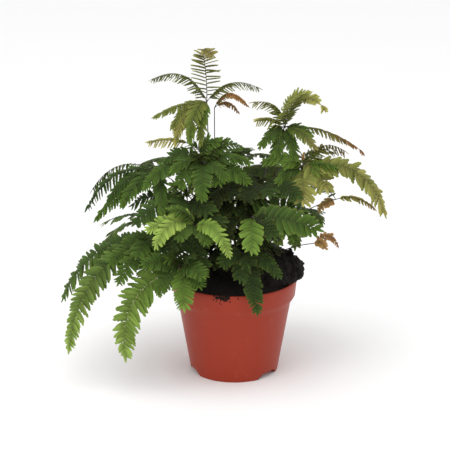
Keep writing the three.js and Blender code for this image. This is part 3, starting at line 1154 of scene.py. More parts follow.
@dataclass
class LeafletMould:
    """A leaflet one unit long and wide, attached at the origin, along X, with its front edge at +Y."""

    name: str
    widths: tuple[float, ...]
    lower_edge: tuple[float, ...]
    tooth: float
    droop: float
    cup: float
    hook: float = 0.0
    tooth_slant: float = 0.02
    cup_width: float = 0.22
    thickness: float = 0.026
    mirrored: bool = False

    def build(self) -> Piece:
        """Models the leaflet: a grid set to its outline by columns, toothed, bent and given its thickness.

        Returns:
            The closed leaflet, ready to be copied.
        """
        columns = len(self.widths) - 1
        close = 0.25 / columns
        piece = start_piece(
            bpy.ops.mesh.primitive_grid_add,
            self.name,
            x_subdivisions=columns,
            y_subdivisions=2,
            size=1,
            location=(0.5, 0, 0),
        )
        edit(piece)
        for column, (width, low) in enumerate(zip(self.widths, self.lower_edge)):
            along = column / columns
            select_points(lambda place: abs(place.x - along) < close)
            bpy.ops.transform.resize(value=(1, width, 1), center_override=(along, -0.5, 0))
            bpy.ops.transform.translate(value=(0, low + 0.5, -self.droop * along * along))
            if self.tooth and 1 < column < columns:
                upper = low + width - 0.05
                select_points(lambda place: abs(place.x - along) < close and place.y > upper)
                push = self.tooth if column % 2 else -self.tooth
                bpy.ops.transform.translate(value=(self.tooth_slant, push, 0))
        middle = self.lower_edge[columns // 2] + self.widths[columns // 2] / 2
        select_points(lambda place: 0.1 < place.x and abs(place.y - middle) < self.cup_width)
        bpy.ops.transform.translate(value=(0, 0, self.cup))
        for column in range(1, columns + 1):
            along = column / columns
            select_points(lambda place: abs(place.x - along) < 0.4 / columns)
            bpy.ops.transform.translate(value=(0, self.hook * along * along, 0))
        if self.mirrored:
            bpy.ops.mesh.select_all(action="SELECT")
            bpy.ops.transform.mirror(constraint_axis=(False, True, False), center_override=(0, 0, 0))
            bpy.ops.mesh.flip_normals()
        let_go()
        apply_modifier(piece, "SOLIDIFY", thickness=self.thickness, offset=0)
        self.mark_underside(piece)
        smooth(piece, 60)
        return piece

    def mark_underside(self, piece: Piece) -> None:
        """Marks the points of the lower face, for its paler colour, and makes room for the tint.

        Args:
            piece: the leaflet.
        """
        under = np.zeros(len(piece.data.vertices), np.float32)
        for polygon in piece.data.polygons:
            if polygon.normal.z < -0.6:
                under[list(polygon.vertices)] = 1
        piece.data.attributes.new("under", "FLOAT", "POINT").data.foreach_set("value", under)
        piece.data.attributes.new("tint", "FLOAT_COLOR", "POINT")


BROAD_WIDTHS = (0.84, 0.95, 1.0, 1.0, 1.0, 0.98, 0.94, 0.84, 0.52)
BROAD_LOWER = (-0.42, -0.48, -0.5, -0.5, -0.5, -0.5, -0.48, -0.42, -0.26)
NARROW_WIDTHS = (0.5, 0.84, 0.98, 1.0, 0.95, 0.86, 0.73, 0.54, 0.2)
NARROW_LOWER = (-0.28, -0.44, -0.5, -0.5, -0.48, -0.44, -0.38, -0.28, -0.1)
TIP_WIDTHS = (0.9, 0.8, 1.0, 0.82, 0.86, 0.66, 0.58, 0.4, 0.14)

# Tooth, droop, cup and hook of each form that a leaflet comes in.
FORMS = ((0.06, 0.06, 0.04, 0.2), (0.09, 0.14, 0.06, 0.3), (0.07, 0.02, -0.03, 0.12))


@dataclass
class LeafletMoulds:
    """The leaflets that are modelled once: broad and narrow ones for each side of a rib, and the tip."""

    broad: dict[int, list[Piece]] = field(default_factory=dict)
    narrow: dict[int, list[Piece]] = field(default_factory=dict)
    tip: list[Piece] = field(default_factory=list)

    def build(self) -> None:
        """Models them all. On a rib's left, side 1, the front edge is at -Y."""
        for side, hand in ((1, "left"), (-1, "right")):
            for kind, row, widths, lower in (
                ("broad", self.broad, BROAD_WIDTHS, BROAD_LOWER),
                ("narrow", self.narrow, NARROW_WIDTHS, NARROW_LOWER),
            ):
                row[side] = [
                    LeafletMould(f"{kind}_{hand}_{i}", widths, lower, *form, mirrored=side > 0).build()
                    for i, form in enumerate(FORMS)
                ]
        lower = tuple(-width / 2 for width in TIP_WIDTHS)
        self.tip = [LeafletMould("tip", TIP_WIDTHS, lower, 0, 0.1, 0.04).build()]

    def clear(self) -> None:
        """Deletes the moulds when every leaflet has been copied."""
        for moulds in (*self.broad.values(), *self.narrow.values(), self.tip):
            for mould in moulds:
                delete(mould)


@dataclass(frozen=True)
class LeafletRules:
    """How leaflets sit on a rib. Lengths are in mm, and pairs of numbers are the ends of a random range."""

    longer: float = 1.16
    pitch_share: float = 0.4
    pitch_less: float = 1.1
    least_pitch: float = 2.9
    tip_overlap: float = 0.76
    cap_overlap: float = 1.9
    foot_overlap: float = 0.45
    skyward: float = 72
    sweep_more: float = 26
    tip_share: float = 0.6
    tip_width: float = 0.42
    tip_room: float = 0.8
    scruffy: float = 5
    stagger: float = 0.22
    shuffle: float = 0.05
    lengths: tuple[float, float] = (0.92, 1.06)
    widths: tuple[float, float] = (0.92, 1.08)
    broadest: float = 0.62
    broad_until: float = 0.7
    ageing: float = 1.7
    age_spread: float = 0.09
    shades: tuple[float, float] = (0.84, 1.16)
    young_scale: float = 0.6

    def pitch(self, leaflet: float) -> float:
        """The distance between pairs, for leaflets of a length."""
        return max(self.least_pitch, self.pitch_share * leaflet - self.pitch_less)

    def fullness(self, share: float) -> float:
        """A leaflet's length at a share of the finger, per length of the longest one."""
        return min(1, 0.66 + 1.7 * share) * (1 - share**4) ** 0.6


@dataclass(frozen=True)
class StalkRules:
    """How the solids' stipes and ribs run, and how the wires round them are drawn. Lengths are in mm.

    Rising and arriving are the handles of a stipe's curve, as shares of its way across and up.
    """

    crown: tuple[float, float] = (2, 4)
    sunk: float = 11
    rising: tuple[float, float] = (0.12, 0.45)
    arriving: tuple[float, float] = (0.55, 0.88)
    bow_at: float = 0.45
    blade: float = 0.75
    bends: tuple[int, ...] = tuple(range(-35, 36, 5))
    slack: float = 0.05
    stout: float = 0.5
    stouter: float = 0.014
    taper: float = 0.72
    rib: tuple[float, float] = (0.4, 0.14)
    fading: float = 1.6
    round_steps: int = 1
    long_steps: int = 14
    weld: float = 0.01


RULES = LeafletRules()
STALKS = StalkRules()


# ---------------------------------------------------------------- fronds


@dataclass(frozen=True)
class Bed:
    """What every frond needs: the soil it stands in, the leaflets to copy, and the materials by slot."""

    soil: RootBall
    moulds: LeafletMoulds
    finishes: dict[Slot, Material]


@dataclass
class Frond:
    """A frond: its wiry stipe, and a fan of fingers cut to the rib into leaflets. Lengths are in mm.

    Fine are the fingers that its solid leaves out. Between is how far the added fingers between neighbours
    reach, as a share of theirs, and crowding is the space between leaflets beside the rule's.
    """

    name: str
    slot: Slot
    root: tuple[float, float]
    fork: tuple[float, float, float]
    leaflet: float
    light: float
    fingers: list[Finger]
    fine: list[Finger] = field(default_factory=list)
    crowding: float = 1.0
    between: float = 0.0

    def rib(self, finger: Finger, lift: float, turn: float) -> Rib:
        """Draws a finger's rib, bent from its straight course by so many degrees of lift and turn.

        Args:
            finger: the finger.
            lift, turn: the bend.

        Returns:
            The rib.
        """
        fork = Vector(self.fork) * MM
        chord = Vector(finger.tip) * MM - fork
        left = Vector((-chord.y, chord.x, 0)).normalized()
        swing = Matrix.Rotation(math.radians(turn), 3, "Z")
        chord = swing @ (Matrix.Rotation(-math.radians(lift), 3, left) @ chord)
        left = swing @ left
        bow = chord.cross(left).normalized() * (2 * finger.arch * MM)
        control = fork + chord * STALKS.bow_at + bow
        light = Vector((math.cos(math.radians(self.light)), math.sin(math.radians(self.light)), 0))
        return Rib(fork, control, fork + chord, left, light, finger.lean)

    def grown_rib(self, finger: Finger, solid: KDTree) -> Rib:
        """Finds the bend that the solid's finger was given, by the place of its tip.

        Args:
            finger: the finger.
            solid: the solid's corners.

        Returns:
            The rib that the solid follows.
        """
        best, least = None, math.inf
        for lift in STALKS.bends:
            for turn in STALKS.bends:
                rib = self.rib(finger, lift, turn)
                tip = rib.station_at(1)
                miss = solid.find(tip.point + tip.face * (STALKS.blade / 2 * MM))[2]
                if miss < least:
                    best, least = rib, miss
        if least > STALKS.slack * MM:
            log.warning("%s: no bend matches the finger to %s, by %.2f mm", self.name, finger.tip, least / MM)
        return best

    def stipe_ends(self, soil: RootBall) -> tuple[Vector, Vector, Vector, Vector]:
        """The stipe's curve from its root in the soil to the fork, as a root, two handles and the fork.

        Args:
            soil: what it stands in.

        Returns:
            The four points.
        """
        crown = Vector(STALKS.crown) * MM
        bearing, distance = self.root
        x = crown.x + distance * MM * math.cos(math.radians(bearing))
        y = crown.y + distance * MM * math.sin(math.radians(bearing))
        root = Vector((x, y, soil.heap_height(x, y) - STALKS.sunk * MM))
        fork = Vector(self.fork) * MM
        handles = []
        for across, up in (STALKS.rising, STALKS.arriving):
            handle = root.lerp(fork, across)
            handle.z = root.z + up * (fork.z - root.z)
            handles.append(handle)
        return root, *handles, fork

    def wire(self, name: str, path: tuple[Vector, ...], radii: tuple[float, float]) -> Piece:
        """Draws a round wire along a curve and makes it a closed mesh.

        Args:
            name: the piece's name.
            path: the wire's start, two handles and end.
            radii: its radius at its start and end, in mm.

        Returns:
            The mesh.
        """
        let_go()
        bpy.ops.curve.primitive_bezier_curve_add()
        drawn = bpy.context.object
        curve = drawn.data
        curve.splines.clear()
        spline = curve.splines.new("BEZIER")
        spline.bezier_points.add(1)
        first, last = spline.bezier_points
        for point in (first, last):
            point.handle_left_type = point.handle_right_type = "FREE"
        first.co, first.handle_right, last.handle_left, last.co = path
        first.handle_left = first.co * 2 - first.handle_right
        last.handle_right = last.co * 2 - last.handle_left
        first.radius, last.radius = radii
        curve.dimensions = "3D"
        curve.bevel_depth = MM
        curve.bevel_resolution = STALKS.round_steps
        curve.resolution_u = STALKS.long_steps
        curve.use_fill_caps = True
        bpy.ops.object.convert(target="MESH")
        drawn = bpy.context.object
        drawn.name = name
        drawn.data.name = name
        bpy.ops.object.mode_set(mode="EDIT")
        bpy.ops.mesh.select_all(action="SELECT")
        bpy.ops.mesh.remove_doubles(threshold=STALKS.weld * MM)
        bpy.ops.mesh.normals_make_consistent(inside=False)
        smooth(drawn, 50)
        return drawn

    def tint_wire(self, piece: Piece, start: Vector, reach: float, near: Tone, far: Tone) -> None:
        """Colours a wire from one tone at its start to another at so far from it.

        Args:
            piece: the wire.
            start: its start.
            reach: how far off the second tone is.
            near, far: the tones.
        """
        first, last = near.colour(), far.colour()
        shares = [min(1, (point.co - start).length / reach) for point in piece.data.vertices]
        tints = [first + (last - first) * share**STALKS.fading for share in shares]
        tint = piece.data.attributes.new("tint", "FLOAT_COLOR", "POINT")
        tint.data.foreach_set("color", np.array(tints, np.float32).ravel())

    def stalks(self, soil: RootBall, grown: list[tuple[Finger, Rib]]) -> Piece:
        """Draws the stipe and the ribs that fan out from it.

        Args:
            soil: what it stands in.
            grown: the fingers with their ribs.

        Returns:
            The stalks.
        """
        ends = self.stipe_ends(soil)
        stout = STALKS.stout + self.leaflet * STALKS.stouter
        stipe = self.wire("stipe", ends, (stout, stout * STALKS.taper))
        self.tint_wire(stipe, ends[0], (ends[-1] - ends[0]).length, Tone.BARK, Tone.BARK)
        pieces = [stipe]
        for finger, rib in grown:
            path = (rib.fork, rib.fork.lerp(rib.control, 2 / 3), rib.end.lerp(rib.control, 2 / 3), rib.end)
            wire = self.wire("rib", path, STALKS.rib)
            far = finger.far if finger.rib is Tone.BARK else finger.rib
            self.tint_wire(wire, rib.fork, rib.length, finger.rib, far)
            pieces.append(wire)
        return join(pieces, f"{self.name}_stalks")

    def lay_leaflet(
        self,
        mould: Piece,
        rib: Rib,
        along: float,
        side: int,
        size: tuple[float, float],
        habit: Habit,
        dice: random.Random,
    ) -> Piece:
        """Copies a leaflet onto a rib.

        Args:
            mould: the leaflet to copy.
            rib: the rib.
            along: where on it, as a distance from the fork.
            side: 1 on its left, -1 on its right, 0 at its tip.
            size: the leaflet's length and width.
            habit: how the finger carries it.
            dice: the seeded random numbers.

        Returns:
            The copy, in place.
        """
        at = rib.station(along)
        if side:
            further = RULES.sweep_more * (along / rib.length) ** 2
            skyward = RULES.skyward * max(0, at.tangent.z)
            angles = (habit.sweep + further, habit.hang, habit.roll + skyward)
            sweep, hang, roll = (math.radians(angle + dice.gauss(0, RULES.scruffy)) for angle in angles)
        else:
            sweep, hang, roll = math.pi / 2, 0, 0
        level = at.side * (side * math.cos(sweep)) + at.tangent * math.sin(sweep)
        away = (level * math.cos(hang) - at.face * math.sin(hang)).normalized()
        upward = (at.face - away * at.face.dot(away)).normalized()
        forward = away.cross(upward)
        if forward.dot(at.tangent) < 0:
            forward.negate()
        outward = upward * math.cos(roll) + forward * math.sin(roll)
        foot = at.point - at.side * (side * RULES.foot_overlap * MM)
        axes = Matrix((away, outward.cross(away), outward)).transposed().to_4x4()
        length, width = size
        copy = copy_of(mould)
        copy.data.transform(Matrix.Translation(foot) @ axes @ Matrix.Diagonal((length, width, length, 1)))
        return copy

    def tint_leaflet(self, leaflet: Piece, finger: Finger, share: float, dice: random.Random) -> None:
        """Colours a leaflet by its place on the finger, each a little different.

        Args:
            leaflet: the leaflet.
            finger: its finger.
            share: its place, from 0 at the fork to 1 at the tip.
            dice: the seeded random numbers.
        """
        near, far = finger.near.colour(), finger.far.colour()
        age = min(1, max(0, share**RULES.ageing + dice.gauss(0, RULES.age_spread)))
        colour = (near + (far - near) * age) * dice.uniform(*RULES.shades)
        tints = np.tile(colour.astype(np.float32), len(leaflet.data.vertices))
        leaflet.data.attributes["tint"].data.foreach_set("color", tints)

    def leaflets_on(
        self, finger: Finger, rib: Rib, moulds: LeafletMoulds, dice: random.Random
    ) -> list[Piece]:
        """Grows a finger's leaflets in pairs, and the one at its tip.

        Args:
            finger: the finger.
            rib: its rib.
            moulds: the leaflets to copy.
            dice: the seeded random numbers.

        Returns:
            The leaflets.
        """
        longest = RULES.longer * self.leaflet * finger.scale * MM
        tip_length = RULES.tip_share * longest
        start = finger.bare * MM
        leafy = rib.length - RULES.tip_room * tip_length - start
        pairs = max(2, round(leafy / (self.crowding * RULES.pitch(longest / MM) * MM)))
        pitch = leafy / pairs
        overlap = RULES.cap_overlap if finger.nod else RULES.tip_overlap
        leaves = []
        for pair in range(pairs):
            for side in (1, -1):
                along = start + (pair + 0.5 + RULES.stagger * side + dice.gauss(0, RULES.shuffle)) * pitch
                share = min(along / rib.length, 0.99)
                length = longest * RULES.fullness(share) * dice.uniform(*RULES.lengths)
                outer = max(0, share - 0.5) / 0.5
                fitted = finger.habit.width * (1 + (overlap - 1) * outer) * pitch
                width = fitted * dice.uniform(*RULES.widths)
                broad = share < RULES.broad_until and finger.habit is Habit.SPREAD
                mould = dice.choice((moulds.broad if broad else moulds.narrow)[side])
                size = (length, min(width, length * RULES.broadest))
                leaf = self.lay_leaflet(mould, rib, along, side, size, finger.habit, dice)
                self.tint_leaflet(leaf, finger, share, dice)
                leaves.append(leaf)
        size = (tip_length, RULES.tip_width * tip_length)
        tip = self.lay_leaflet(moulds.tip[0], rib, rib.length - tip_length, 0, size, finger.habit, dice)
        self.tint_leaflet(tip, finger, 1, dice)
        return [*leaves, tip]

    def nodding_end(self, finger: Finger, rib: Rib) -> tuple[Finger, Rib]:
        """Carries a finger on past its tip, where its young end curls over.

        Args:
            finger: the finger.
            rib: its rib.

        Returns:
            A finger for the young end, and its rib.
        """
        heading = (rib.end - rib.control).normalized()
        end = rib.end + Vector(finger.nod) * MM
        control = rib.end + heading * ((end - rib.end).length / 2)
        scale = RULES.young_scale * finger.scale
        young = replace(finger, near=finger.far, scale=scale, habit=Habit.SWEPT, nod=None, bare=0)
        return young, replace(rib, fork=rib.end, control=control, end=end)

    def between_fingers(self, grown: list[tuple[Finger, Rib]]) -> list[tuple[Finger, Rib]]:
        """Fills the fan with a shorter finger between each two neighbours.

        Args:
            grown: the fingers with their ribs.

        Returns:
            The new fingers with their ribs.
        """
        extra = []
        for (first, one), (_, other) in zip(grown, grown[1:]):
            end = one.fork.lerp((one.end + other.end) / 2, self.between)
            control = one.fork.lerp((one.control + other.control) / 2, self.between)
            left = (one.left + other.left).normalized()
            lean = (one.lean + other.lean) / 2
            extra.append((first, Rib(one.fork, control, end, left, one.light, lean)))
        return extra

    def fill_out(self, grown: list[tuple[Finger, Rib]]) -> list[tuple[Finger, Rib]]:
        """Adds to the solid's fingers their nodding ends, the fine fingers and those in between.

        Args:
            grown: the solid's fingers with their ribs.

        Returns:
            All the fingers with their ribs.
        """
        added = [self.nodding_end(finger, rib) for finger, rib in grown if finger.nod]
        added += [(finger, self.rib(finger, 0, 0)) for finger in self.fine]
        if self.between:
            added += self.between_fingers(grown)
        return grown + added

    def grow(self, bed: Bed, grown: list[tuple[Finger, Rib]]) -> tuple[Piece, Piece]:
        """Models the stalks and the leaflets on their ribs.

        Args:
            bed: what every frond needs.
            grown: the fingers with their ribs.

        Returns:
            The stalks and the foliage.
        """
        dice = random.Random(f"{SEED}{self.name}")
        leaves = []
        for finger, rib in grown:
            leaves += self.leaflets_on(finger, rib, bed.moulds, dice)
        log.info("%s: %d leaflets on %d fingers", self.name, len(leaves), len(grown))
        foliage = join(leaves, f"{self.name}_foliage")
        return self.stalks(bed.soil, grown), foliage

    def build(self, bed: Bed) -> None:
        """Builds the frond round its solid and dresses it.

        Args:
            bed: what every frond needs.
        """
        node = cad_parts[f"{self.name}_leaflets"]
        solid = KDTree(len(node.data.vertices))
        for index, corner in enumerate(node.data.vertices):
            solid.insert(corner.co, index)
        solid.balance()
        grown = [(finger, self.grown_rib(finger, solid)) for finger in self.fingers]
        stalks, foliage = self.grow(bed, self.fill_out(grown))
        hand_in(stalks, bed.finishes[Slot.STIPE], [f"{self.name}_stipe"])
        hand_in(foliage, bed.finishes[self.slot], [f"{self.name}_leaflets"])


@dataclass
class Undergrowth:
    """Old leaves in the plant's middle, coloured with painted shade: rings of small fronds, laid by rule.

    Lengths are in mm. Pairs of numbers are the ends of a random range, and a spread is a standard deviation.
    """

    heights: tuple[float, ...] = (124, 143, 164, 186)
    reaches: tuple[float, ...] = (50, 48, 46, 40)
    ring: int = 8
    fork_reach: float = 14
    fan: tuple[float, ...] = (-42, 0, 42)
    leaflet: float = 11
    ring_spread: float = 7
    height_spread: float = 4
    fork_spread: float = 3
    fan_spread: float = 5
    reach_range: tuple[float, float] = (0.85, 1.1)
    drops: tuple[float, float] = (2, 14)
    arches: tuple[float, float] = (4, 8)
    lean: float = 0.8
    root_reach: float = 6
    root_step: float = 3
    stipes: tuple[str, ...] = ("inner_stipe", "front_low_stipe")
    solids: tuple[str, ...] = tuple(
        f"{name}_leaflets" for name in ("inner", "front_low", "middle_left", "middle_right")
    )

    def frond(self, level: int, number: int, dice: random.Random) -> Frond:
        """Lays out one small frond of a ring.

        Args:
            level: its ring.
            number: its place in the ring.
            dice: the seeded random numbers.

        Returns:
            The frond.
        """
        bearing = 360 * (number + 0.5 * (level % 2)) / self.ring + dice.gauss(0, self.ring_spread)
        height = self.heights[level] + dice.gauss(0, self.height_spread)
        outward = Vector((math.cos(math.radians(bearing)), math.sin(math.radians(bearing))))
        fork = outward * (self.fork_reach + dice.gauss(0, self.fork_spread))
        fingers = []
        for turn in self.fan:
            angle = math.radians(bearing + turn + dice.gauss(0, self.fan_spread))
            reach = (self.reaches[level] - self.fork_reach) * dice.uniform(*self.reach_range)
            drop, arch = dice.uniform(*self.drops), dice.uniform(*self.arches)
            tip = (fork.x + reach * math.cos(angle), fork.y + reach * math.sin(angle), height - drop)
            # Painted shade: both ends of every finger take the darkest tone, for the shade in the plant's
            # middle.
            fingers.append(Finger(tip, arch, self.lean, Tone.SHADE, Tone.SHADE, Habit.SWEPT))
        root = (bearing, self.root_reach + self.root_step * level)
        name = f"undergrowth_{level}_{number}"
        return Frond(name, Slot.DEEP, root, (fork.x, fork.y, height), self.leaflet, bearing, fingers)

    def build(self, bed: Bed) -> None:
        """Builds all the small fronds as one piece of stalks and one of foliage.

        Args:
            bed: what every frond needs.
        """
        dice = random.Random(SEED)
        stalks, foliage = [], []
        for level in range(len(self.heights)):
            for number in range(self.ring):
                frond = self.frond(level, number, dice)
                grown = [(finger, frond.rib(finger, 0, 0)) for finger in frond.fingers]
                stalk, leaves = frond.grow(bed, grown)
                stalks.append(stalk)
                foliage.append(leaves)
        hand_in(join(stalks, "undergrowth_stalks"), bed.finishes[Slot.STIPE], self.stipes)
        hand_in(join(foliage, "undergrowth_foliage"), bed.finishes[Slot.DEEP], self.solids)
